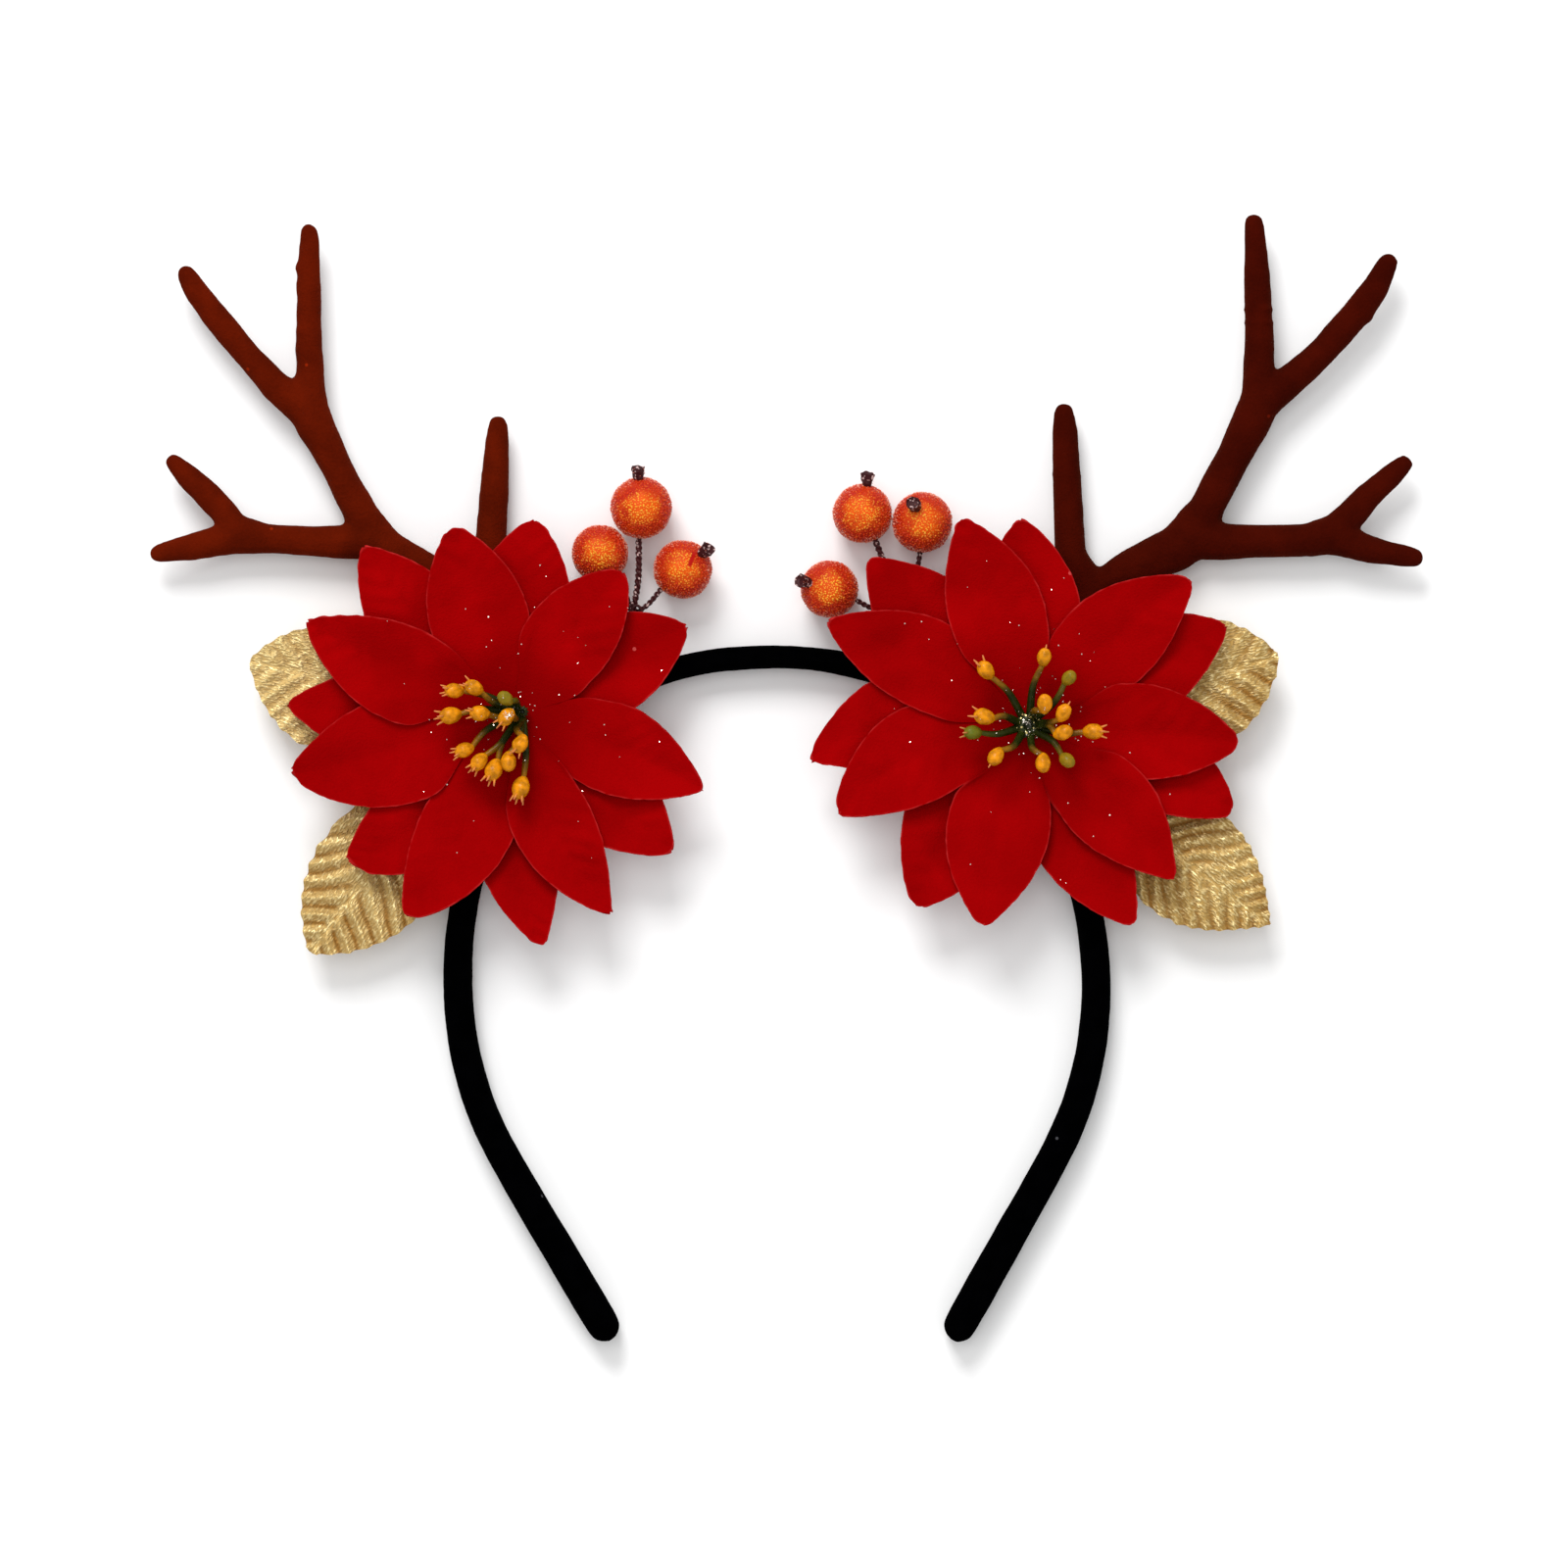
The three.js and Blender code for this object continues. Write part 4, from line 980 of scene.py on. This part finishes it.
def make_leaf(side, number, sizes, gold):
    angle, bend, length, left, right, pointed, rib_count, press, pale = LEAVES[side, number]
    foot_turn = math.radians(angle)
    turn = foot_turn + math.radians(bend)
    start = 8.3 * MM + 0.8 * MM * abs(math.sin(math.radians(bend)))
    foot = FLOWERS[side] + start * Vector((math.cos(foot_turn), math.sin(foot_turn)))
    level = 9.7 * MM
    rows, columns = 150, 64
    seed = Vector((number * 5.7, 2.3 if side == "left" else 8.9, 4.1))
    grid = []
    threads = []
    rib_shades = []
    for i in range(rows + 1):
        share = math.sin(math.pi / 2 * i / rows) * 0.998
        line = []
        for j in range(columns + 1):
            across = math.sin(math.pi / 2 * (2 * j / columns - 1))
            wide = sizes.leaf_width * (left if across > 0 else right)
            half = max(leaf_edge(share, wide, pointed), 0.25 * MM)
            # The ribs run slanting out from the midrib, closer to each other towards the tip.
            spine = share + 0.3 - (0.9 * abs(across) * half - RIB_STRAY * MM * noise.noise(seed)) / length
            spine += 0.035 * noise.noise(Vector((share * length, across * half, 0)) / (9 * MM) + seed)
            ribs = rib_count * max(spine, 0.0) ** 1.25
            crest = math.cos(2 * math.pi * ribs)
            # The edge follows the ribs, and is a little ragged.
            notch = 1 + 0.20 * MM * crest / max(half, 1 * MM) * abs(across) ** 4
            place = Vector((share * length, across * half, 0)) / MM
            nick = 0.25 * MM * noise.noise(place / 1.7 + seed) * abs(across) ** 5
            sideways = across * half * notch + nick
            # The ribs are pressed to a depth that varies, and their valleys get painted shade.
            fade = min(abs(across) * half / (1.4 * MM), 1.0)
            depth = press * (0.65 + 0.7 * noise.noise(place / 16 + seed * 2))
            crimp = sizes.leaf_crimp * (crest + 0.30 * math.cos(4 * math.pi * ribs)) * fade * depth
            shade = max(-crest - 0.15, 0.0) / 0.85 * fade * min(max(depth, 0.2), 1.0)
            rib_shades.append(clamp(shade))
            # The midrib and the crumple of the cloth.
            groove = 0.3 * MM * math.exp(-((sideways / (0.6 * MM)) ** 2))
            crumple = 0.5 * MM * noise.noise(place / 7 + seed) + 0.12 * MM * noise.noise(place / 2.2 + seed)
            reach = share * length
            x, y = place_along(foot, turn, reach, sideways)
            height = level + crimp + crumple * (0.3 + 0.7 * share) - groove
            line.append(Vector((x, y, height)))
            threads.append((reach, sideways))
        grid.append(line)
    points = [point for line in grid for point in line]
    leaf = mesh_object(f"gold_cloth_leaf_{side}_{number}", points, grid_faces(rows + 1, columns + 1))
    set_values(leaf, "rib_shade", rib_shades)
    # The leaf's painted light, from its table.
    set_value(leaf, pale=pale)
    layer = leaf.data.uv_layers.new(name="thread")
    for loop in leaf.data.loops:
        layer.data[loop.index].uv = threads[loop.vertex_index]
    cloth(leaf, 0.3 * MM)
    paint(leaf, gold)
    hand_in(leaf, "gold_cloth", f"gold_leaf_{side}_{number}")
    return leaf


# Berries
def berry_centre(side, number):
    inward, upward, radius, *_ = BERRIES[side, number]
    flower = FLOWERS[side]
    return Vector((flower.x - SIDES[side] * inward, flower.y + upward, radius + 0.8 * MM))


def nub_aim(side, number):
    *_, flat, tilt, _ = BERRIES[side, number]
    flat, tilt = math.radians(flat), math.radians(tilt)
    return Vector((math.cos(flat) * math.cos(tilt), math.sin(flat) * math.cos(tilt), math.sin(tilt)))


def model_grain(radius):
    """The corners and faces of one grain of frost."""
    grain = primitive(bpy.ops.mesh.primitive_ico_sphere_add, subdivisions=1, radius=radius)
    corners = [vertex.co.copy() for vertex in grain.data.vertices]
    faces = [tuple(face.vertices) for face in grain.data.polygons]
    bpy.data.objects.remove(grain)
    return corners, faces


def scatter(name, shape, places):
    """One mesh of many small copies. places holds (centre, turn, scale)."""
    corners, sides = shape
    points = []
    faces = []
    for centre, turn, scale in places:
        start = len(points)
        points += [centre + turn @ (corner * scale) for corner in corners]
        faces += [tuple(start + index for index in face) for face in sides]
    return mesh_object(name, points, faces)


def random_turn(draws):
    axis = Vector((draws.gauss(0, 1), draws.gauss(0, 1), draws.gauss(0, 1))).normalized()
    return Quaternion(axis, draws.uniform(0, 2 * math.pi))


def make_nub(aim, radius, draws):
    """A ragged dark stub, modelled upright and then laid along aim."""
    nub = cylinder(18, 1.2 * MM, 2.6 * MM)
    edit_end(nub, 1)
    inset_end(0.45 * MM, -0.7 * MM)
    bpy.ops.mesh.select_all(action="SELECT")
    bpy.ops.mesh.subdivide(number_cuts=3)
    bpy.ops.object.mode_set(mode="OBJECT")
    start = Vector((draws.uniform(0, 50), draws.uniform(0, 50), 0))
    for vertex in nub.data.vertices:
        place = vertex.co / MM
        flare = 1 + 0.16 * place.z + 0.30 * noise.noise(place / 0.8 + start)
        vertex.co.x *= flare
        vertex.co.y *= flare
        vertex.co.z += 0.35 * MM * noise.noise(place / 0.9 + start * 2) * (1 if place.z > 0 else 0)
    turn = UP.rotation_difference(aim).to_matrix().to_4x4()
    nub.data.transform(turn @ Matrix.Translation((0, 0, radius + 1.0 * MM)))
    nub.data.update()
    return nub


def top_highlight_at(away, start):
    """How much painted highlight is on the skin in a direction: golden on top, redder down the sides."""
    return ease(away.z + 0.16 * noise.noise(away * 2.3 + start), 0.66, 1.06)


def side_sheen_at(away, start):
    """How much painted sheen whitens the frost in a direction: strong on the sides, weak on top."""
    return 1 - ease(away.z + 0.16 * noise.noise(away * 3.1 - start), 0.16, 0.72)


def scratch_at(away):
    if away.z < 0:
        return 0.0
    x, y = away.x - 0.33, away.y - 0.32
    along = abs(0.33 * x + 0.94 * y)
    aside = abs(0.94 * x - 0.33 * y)
    return ease(0.30 - along, 0.0, 0.08) * ease(0.10 - aside, 0.0, 0.05)


def dent_at(away, start):
    return 0.16 * MM * noise.noise(away * 2.1 + start)


def make_berry(side, number, sizes, skin, frost, bark):
    *_, scratched = BERRIES[side, number]
    radius = BERRIES[side, number][2]
    aim = nub_aim(side, number)
    draws = random.Random(40 + number + (10 if side == "right" else 0))
    ball = primitive(
        bpy.ops.mesh.primitive_uv_sphere_add, segments=96, ring_count=64, radius=radius - 0.15 * MM
    )
    aim_mesh(ball, aim)
    start = Vector((number * 3.7, 1.3, SIDES[side]))
    marks = []
    top_highlights = []
    for vertex in ball.data.vertices:
        away = vertex.co.normalized()
        marks.append(scratch_at(away) if scratched else 0.0)
        top_highlights.append(top_highlight_at(away, start))
        vertex.co += away * dent_at(away, start)
    set_values(ball, "scratch", marks)
    set_values(ball, "top_highlight", top_highlights)
    smooth(ball)
    nub = make_nub(aim, radius, draws)
    places = []
    grain_highlights = []
    side_sheens = []
    golden_angle = math.pi * (3 - math.sqrt(5))
    count = sizes.frost_count
    for k in range(count):
        height = 1 - 2 * (k + 0.5) / count
        spread = math.sqrt(1 - height * height)
        away = Vector((spread * math.cos(golden_angle * k), spread * math.sin(golden_angle * k), height))
        away = (away + Vector([draws.uniform(-0.045, 0.045) for _ in range(3)])).normalized()
        if scratched and scratch_at(away) > 0.25:
            continue
        spot = away * (radius - 0.14 * MM + dent_at(away, start))
        places.append((spot, random_turn(draws), draws.uniform(0.45, 1.1)))
        # A grain's painted highlight follows the skin's, varied at random.
        grain_highlights.append(clamp(top_highlight_at(away, start) * 1.1 + draws.uniform(-0.45, 0.2)))
        # Painted sheen whitens the grains down the sides, and some grains at random.
        side_sheens.append(clamp(side_sheen_at(away, start) * 1.2 + draws.uniform(-1.5, 0.05)))
    for _ in range(12):
        spot = aim * (radius + draws.uniform(0.3, 2.2) * MM)
        aside = random_turn(draws) @ Vector((1.35 * MM, 0, 0))
        places.append((spot + aside - aim * aside.dot(aim), random_turn(draws), draws.uniform(0.3, 0.6)))
        grain_highlights.append(0.0)
        side_sheens.append(draws.uniform(0.0, 0.5))
    grain = model_grain(sizes.frost_grain)
    frosting = scatter("frost", grain, places)
    set_values(frosting, "top_highlight", [grain_highlight for grain_highlight in grain_highlights for _ in grain[0]])
    set_values(frosting, "side_sheen", [side_sheen for side_sheen in side_sheens for _ in grain[0]])
    for part, index in ((ball, 0), (frosting, 1), (nub, 2)):
        paint(part, skin, frost, bark)
        part.data.polygons.foreach_set("material_index", [index] * len(part.data.polygons))
    berry = join([ball, nub, frosting], f"frosted_berry_{side}_{number}")
    berry.data.transform(Matrix.Translation(berry_centre(side, number)))
    settle(berry)
    return hand_in(berry, "frosted_berry", f"berry_{side}_{number}")


def make_stems(side, sizes, bark):
    flower = FLOWERS[side]
    sign = SIDES[side]
    across, up = STEM_FORKS[side]
    middle = Vector((flower.x, flower.y, 9.6 * MM))
    joint = Vector((flower.x + across, flower.y + up, middle.z))
    root = middle + (joint - middle).normalized() * 8.3 * MM
    wires = [[root, root.lerp(joint, 0.5), joint]]
    for number in (1, 2, 3):
        centre = berry_centre(side, number)
        below = (joint - centre).to_2d().normalized().to_3d()
        end = centre + below * (BERRIES[side, number][2] - 0.2 * MM)
        bend = joint.lerp(end, 0.45) + Vector((below.y, -below.x, 0)) * sign * 0.6 * MM
        wires.append([joint, bend, end])
    parts = []
    for k, corners in enumerate(wires):
        line = route([corner.copy() for corner in corners], 26)
        strand = sizes.wire * (1.25 if k in (0, 1) else 1.0)
        parts.append(tube("wire", line, [strand] * len(line), 2, strand * 0.95, 2.3 * MM, 2))
    loop = []
    middle = joint + Vector((0.9 * MM * -sign, 0.3 * MM, 0.3 * MM))
    for k in range(25):
        angle = 2 * math.pi * k / 24
        around = Vector((1.0 * MM * math.cos(angle), 1.5 * MM * math.sin(angle), 0.1 * MM * k / 24))
        loop.append(middle + around)
    parts.append(tube("wire", loop, [sizes.wire] * len(loop), 1, 0.0, 1.0, 2))
    stems = join(parts, f"twisted_stems_{side}")
    smooth(stems)
    paint(stems, bark)
    return hand_in(stems, "wrapped_wire", f"berry_stems_{side}")


# Stamens
def model_bud(prongs):
    """A bud along +Z, its base at the origin, a ring of prongs at its far end. Lengths in bud radii."""
    bud = primitive(bpy.ops.mesh.primitive_uv_sphere_add, segments=20, ring_count=16, radius=1.0)
    for vertex in bud.data.vertices:
        z = vertex.co.z
        waist = 1 - 0.22 * max(-z, 0) ** 2
        vertex.co = Vector((vertex.co.x * waist, vertex.co.y * waist, z * (1.28 if z > 0 else 1.5)))
        vertex.co += vertex.co.normalized() * 0.07 * noise.noise(vertex.co * 1.3 + Vector((prongs, 2, 5)))
    smooth(bud)
    set_value(bud, prong=0)
    parts = [bud]
    for k in range(prongs):
        angle = 2 * math.pi * (k + 0.3) / prongs
        outward = Vector((math.cos(angle), math.sin(angle), 0)) * (0.48 if prongs > 1 else 0.0)
        cone = primitive(
            bpy.ops.mesh.primitive_cone_add, vertices=8, radius1=0.20, radius2=0.07, depth=1.15
        )
        aim = (UP + outward * 0.75).normalized()
        aim_mesh(cone, aim)
        cone.data.transform(Matrix.Translation(outward + Vector((0, 0, 0.82)) + aim * 0.45))
        set_values(cone, "prong", [clamp((vertex.co.z - 0.9) / 0.7) for vertex in cone.data.vertices])
        smooth(cone)
        parts.append(cone)
    return join(parts, f"bud_{prongs}")


def make_hub(root, size):
    """A green star with a hole in its middle, from which the stalks spread."""
    hub = cylinder(20, 2.6 * MM, 1.8 * MM)
    for vertex in hub.data.vertices:
        corner = round(math.atan2(vertex.co.y, vertex.co.x) / (2 * math.pi) * 20) % 2
        pinch = 0.74 if corner else 1.05
        vertex.co.x *= pinch
        vertex.co.y *= pinch
    edit_end(hub, 1)
    inset_end(0.85 * MM, 0.25 * MM)
    inset_end(0.12 * MM, -1.5 * MM)
    bpy.ops.object.mode_set(mode="OBJECT")
    hub.data.transform(Matrix.Diagonal((size, size, 1, 1)))
    hub.data.transform(Matrix.Translation(root + Vector((0, 0, 0.5 * MM))))
    add_modifier(hub, "BEVEL", width=0.15 * MM, segments=2)
    apply_modifiers(hub)
    smooth(hub, 40)
    set_value(hub, ripe=0, fruit=0, prong=0)
    return hub


def make_stamens(side, buds, plastic):
    across, up = SPRAYS[side]
    root = Vector((FLOWERS[side].x + across, FLOWERS[side].y + up, SPRAY_LEVEL))
    parts = [make_hub(root, HUB_SIZES[side])]
    for index, (x, y, rise, size, prongs, facing, ripe) in enumerate(STAMENS[side]):
        head = root + Vector((x, y, rise)) * MM
        outward = (head - root).to_2d().normalized().to_3d()
        beside = Vector((-outward.y, outward.x, 0)) * (0.9 if index % 2 else -0.9) * MM
        low = root + outward * 1.4 * MM
        middle = root.lerp(head, 0.55) + Vector((0, 0, 0.9 * MM)) + beside
        flat = math.radians(facing)
        aim = Vector((math.cos(flat), math.sin(flat), 0.35)).normalized()
        if ripe < 1 and prongs == 0:
            aim = (outward + Vector((0, 0, 0.6))).normalized()
        foot = head - aim * size * 1.1 * MM
        line = route([low, middle, foot], 9)
        last = len(line) - 1
        radii = [(0.90 - 0.38 * i / last) * MM for i in range(last + 1)]
        stalk = tube("stalk", line, radii, sides=3)
        smooth(stalk)
        tips = []
        for vertex in stalk.data.vertices:
            run = clamp((vertex.co - low).length / (foot - low).length)
            tips.append(max(0.0, (run - 0.65) / 0.35) * 0.4)
        set_values(stalk, "fruit", tips)
        set_value(stalk, ripe=ripe, prong=0)
        bud = add_object("bud", buds[prongs].data.copy())
        bud.data.transform(Matrix.Rotation(index * 0.7, 4, "Z"))
        bud.data.transform(Matrix.Scale(size * MM, 4))
        aim_mesh(bud, aim)
        bud.data.transform(Matrix.Translation(head))
        set_value(bud, ripe=ripe, fruit=1)
        parts += [stalk, bud]
    spray = join(parts, f"bud_spray_{side}")
    settle(spray)
    paint(spray, plastic)
    return hand_in(spray, "stamen_plastic", f"stamens_{side}")


def make_glitter(side, below, glitter):
    """Flakes of glitter that lie on the petals, thick near the middle."""
    draws = random.Random(7 if side == "left" else 19)
    tree = tree_of(below)
    turns = [k * math.pi / 3 for k in range(6)]
    corners = [Vector((math.cos(turn), math.sin(turn), height)) for height in (0, 0.22) for turn in turns]
    ends = [tuple(range(5, -1, -1)), tuple(range(6, 12))]
    flake = (corners, ends + [(k, (k + 1) % 6, 6 + (k + 1) % 6, 6 + k) for k in range(6)])
    places = []
    golden = []
    across, up = SPRAYS[side]
    while len(places) < FLAKES + GOLDEN_FLAKES[side]:
        near = len(places) >= FLAKES
        if near:
            reach = draws.uniform(1.1, 2.7) * MM
        else:
            reach = 34 * MM * draws.random() ** 2.8
        angle = draws.uniform(0, 2 * math.pi)
        x = FLOWERS[side].x + reach * math.cos(angle) + (across if near else 0)
        y = FLOWERS[side].y + reach * math.sin(angle) + (up if near else 0)
        hit, normal = drop_on(tree, x, y)
        size = draws.uniform(0.07, 0.15) * MM * (1.7 if near else 1)
        if hit is None or hit.z < 11 * MM:
            continue
        tilt = Vector((draws.gauss(0, 0.25), draws.gauss(0, 0.25), 0))
        turn = UP.rotation_difference((normal + tilt).normalized())
        places.append((hit + normal * 0.06 * MM, turn, size))
        golden += [float(near)] * len(flake[0])
    flakes = scatter(f"glitter_{side}", flake, places)
    set_values(flakes, "golden", golden)
    paint(flakes, glitter)
    return hand_in(flakes, "stamen_plastic")


# Band and antlers
def make_band(black):
    band = node_copy("band", "velvet_band")
    add_modifier(band, "SUBSURF", levels=3, render_levels=3)
    apply_modifiers(band)
    roughen(band, ((6 * MM, 0.10 * MM), (1.6 * MM, 0.05 * MM)))
    smooth(band)
    paint(band, black)
    return hand_in(band, "velvet_black", "band")


def bend_antler(antler, side):
    """Shifts and swells the antler smoothly by the values of the nearest places in its table."""
    moved = []
    for vertex in antler.data.vertices:
        total = 0.0
        shift = Vector((0, 0, 0))
        for x, y, right, up, fuller in ANTLER_BENDS[side]:
            apart = math.hypot(vertex.co.x / MM - x, vertex.co.y / MM - y)
            weight = 1 / (apart + 1.5) ** 4
            total += weight
            flat = Vector((vertex.normal.x, vertex.normal.y, 0)) * fuller
            shift += weight * (Vector((right, up, 0)) + flat)
        moved.append(vertex.co + shift / total * MM)
    move_points(antler, moved)


def make_antler(side, sizes, flock):
    antler = node_copy(f"antler_{side}", f"flocked_antler_{side}")
    add_modifier(antler, "REMESH", mode="VOXEL", voxel_size=sizes.antler_voxel, use_smooth_shade=True)
    add_modifier(antler, "SMOOTH", factor=0.5, iterations=30)
    apply_modifiers(antler)
    bend_antler(antler, side)

    def marks(place):
        x, y = place.x / MM, place.y / MM
        height = 0.0
        for lump_x, lump_y, size in ANTLER_LUMPS:
            near = ((x - lump_x) ** 2 + (y - lump_y) ** 2) / (0.8 * size + 0.5) ** 2
            height += 0.75 * size * MM * math.exp(-near)
        if side == "right" and 95 < x < 105:
            for ring in ANTLER_RINGS:
                height += 0.16 * MM * math.exp(-(((y - ring) / 0.4) ** 2))
        return height

    roughen(antler, ((11 * MM, 0.14 * MM), (3.2 * MM, 0.05 * MM), (0.9 * MM, 0.03 * MM)), marks)
    wear = []
    for vertex in antler.data.vertices:
        cloud = noise.noise(vertex.co / (7 * MM)) * 0.5 + noise.noise(vertex.co / (2.5 * MM)) * 0.3
        wear.append(clamp(cloud * 0.55))
    set_values(antler, "wear", wear)
    smooth(antler)
    paint(antler, flock)
    return hand_in(antler, "flock_brown", f"antler_{side}")


def make_calyx(side, green):
    low, high = (Vector(corner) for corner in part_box(f"flower_post_{side}"))
    centre = (low + high) / 2
    calyx = cylinder(48, (high.x - low.x) / 2, high.z - low.z, centre)
    edit_end(calyx, -1)
    inset_end(1.2 * MM, 0.6 * MM)
    bpy.ops.object.mode_set(mode="OBJECT")
    settle(calyx)
    add_modifier(calyx, "BEVEL", width=0.35 * MM, segments=3)
    apply_modifiers(calyx)
    named(calyx, f"calyx_{side}")
    smooth(calyx, 40)
    paint(calyx, green)
    return hand_in(calyx, "post_plastic", f"flower_post_{side}")


# Stage
def make_stage(colours):
    scene = bpy.context.scene
    scene.view_settings.view_transform = "Standard"
    plane = {"size": 6.0, "location": (0, 0, CAD_BOX[0][2] - 0.3 * MM)}
    floor = named(primitive(bpy.ops.mesh.primitive_plane_add, **plane), "floor")
    made, tree, shader = material("Pale floor", {"Roughness": 0.9, "Specular IOR Level": 0.1})
    cloud = clouds(tree, object_place(tree), 14.0, 2.0)
    cover(tree, shader, blend_colours(tree, cloud, colours.floor[:], scaled(colours.floor, 0.985)))
    paint(floor, made)
    world = scene.world or bpy.data.worlds.new("World")
    scene.world = world
    world.use_nodes = True
    backdrop = world.node_tree.nodes["Background"]
    backdrop.inputs["Color"].default_value = (1.0, 1.0, 1.0, 1)
    backdrop.inputs["Strength"].default_value = 0.66
    for name, place, size, power in (
        ("Overhead", (-0.15, 0.25, 2.2), 1.1, 9.0),
        ("Key", (-0.35, 1.15, 1.25), 0.7, 19.5),
    ):
        light = bpy.data.lights.new(name, "AREA")
        light.size = size
        light.energy = power
        lamp = add_object(name, light)
        lamp.location = place
        aim = Vector((0, -0.03, 0)) - Vector(place)
        lamp.rotation_euler = aim.to_track_quat("-Z", "Y").to_euler()
    camera_data = bpy.data.cameras.new("Camera")
    camera_data.sensor_width = 36
    camera_data.lens = 168.75
    camera_data.clip_start = 0.05
    camera = add_object("Camera", camera_data)
    camera.location = (1.7 * MM, -25.9 * MM, 1.5)
    scene.camera = camera


class MakeStage(bpy.types.Operator):
    """Set the floor, the lights and the camera above the headband"""

    bl_idname = "headband.make_stage"
    bl_label = "Stage"

    def execute(self, context):
        make_stage(context.scene.headband_colours)
        SHARED["pile"] = pile_group()
        return {"FINISHED"}


class MakeBand(bpy.types.Operator):
    """Wrap the hoop in black velvet"""

    bl_idname = "headband.make_band"
    bl_label = "Band"

    def execute(self, context):
        make_band(band_material(context.scene.headband_colours))
        return {"FINISHED"}


class MakeAntlers(bpy.types.Operator):
    """Round the antlers and cover them in brown flock"""

    bl_idname = "headband.make_antlers"
    bl_label = "Antlers"

    def execute(self, context):
        scene = context.scene
        colours = scene.headband_colours
        for side, colour in (("left", colours.antler_left), ("right", colours.antler_right)):
            make_antler(side, scene.headband_sizes, antler_material(f"{side.title()} flock", colour))
        return {"FINISHED"}


class MakeBerries(bpy.types.Operator):
    """Make the frosted berries and their twisted stems"""

    bl_idname = "headband.make_berries"
    bl_label = "Berries"

    def execute(self, context):
        scene = context.scene
        sizes = scene.headband_sizes
        colours = scene.headband_colours
        skin = berry_material(colours)
        frost = frost_material(colours)
        bark = wire_material(colours)
        for side, number in BERRIES:
            make_berry(side, number, sizes, skin, frost, bark)
        for side in SIDES:
            make_stems(side, sizes, bark)
        return {"FINISHED"}


class MakeLeaves(bpy.types.Operator):
    """Press the gold cloth leaves"""

    bl_idname = "headband.make_leaves"
    bl_label = "Gold leaves"

    def execute(self, context):
        scene = context.scene
        gold = gold_material(scene.headband_colours)
        for side, number in LEAVES:
            make_leaf(side, number, scene.headband_sizes, gold)
        return {"FINISHED"}


class MakeFlowers(bpy.types.Operator):
    """Lay the velvet petals in two layers, with a calyx below"""

    bl_idname = "headband.make_flowers"
    bl_label = "Flowers"

    def execute(self, context):
        scene = context.scene
        sizes = scene.headband_sizes
        colours = scene.headband_colours
        red = petal_material(colours)
        green = calyx_material(colours)
        for side in SIDES:
            make_calyx(side, green)
            names = [f"gold_cloth_leaf_{side}_{number}" for number in (1, 2)]
            names += [f"frosted_berry_{side}_{number}" for number in (1, 2, 3)]
            names.append(f"flocked_antler_{side}")
            below = [bpy.data.objects[name] for name in names]
            back = make_petals(side, "back", below, sizes, red)
            make_petals(side, "front", below + [back], sizes, red)
        return {"FINISHED"}


class MakeStamens(bpy.types.Operator):
    """Set the sprays of buds and the glitter in the flowers"""

    bl_idname = "headband.make_stamens"
    bl_label = "Stamens"

    def execute(self, context):
        colours = context.scene.headband_colours
        plastic = bud_material(colours)
        glitter = glitter_material()
        buds = {count: model_bud(count) for count in (0, 1, 3, 4, 5)}
        for side in SIDES:
            spray = make_stamens(side, buds, plastic)
            below = [bpy.data.objects[f"velvet_{layer}_petals_{side}"] for layer in ("front", "back")]
            make_glitter(side, below + [spray], glitter)
        for bud in buds.values():
            bpy.data.objects.remove(bud)
        return {"FINISHED"}


class HeadbandPanel(bpy.types.Panel):
    """Sizes, colours and steps of the headband"""

    bl_idname = "VIEW3D_PT_headband"
    bl_label = "Flower headband"
    bl_space_type = "VIEW_3D"
    bl_region_type = "UI"
    bl_category = "Headband"

    def draw(self, context):
        scene = context.scene
        for group in (scene.headband_sizes, scene.headband_colours):
            for name in group.__annotations__:
                self.layout.prop(group, name)
        for step in STEPS:
            self.layout.operator(step.bl_idname)


STEPS = (MakeStage, MakeBand, MakeAntlers, MakeBerries, MakeLeaves, MakeFlowers, MakeStamens)
CLASSES = (HeadbandSizes, HeadbandColours, *STEPS, HeadbandPanel)


def register():
    for made in CLASSES:
        bpy.utils.register_class(made)
    bpy.types.Scene.headband_sizes = bpy.props.PointerProperty(type=HeadbandSizes)
    bpy.types.Scene.headband_colours = bpy.props.PointerProperty(type=HeadbandColours)


def unregister():
    del bpy.types.Scene.headband_colours
    del bpy.types.Scene.headband_sizes
    for made in reversed(CLASSES):
        bpy.utils.unregister_class(made)


def main():
    register()
    bpy.ops.headband.make_stage()
    bpy.ops.headband.make_band()
    bpy.ops.headband.make_antlers()
    bpy.ops.headband.make_berries()
    bpy.ops.headband.make_leaves()
    bpy.ops.headband.make_flowers()
    bpy.ops.headband.make_stamens()


if __name__ == "__main__":
    main()
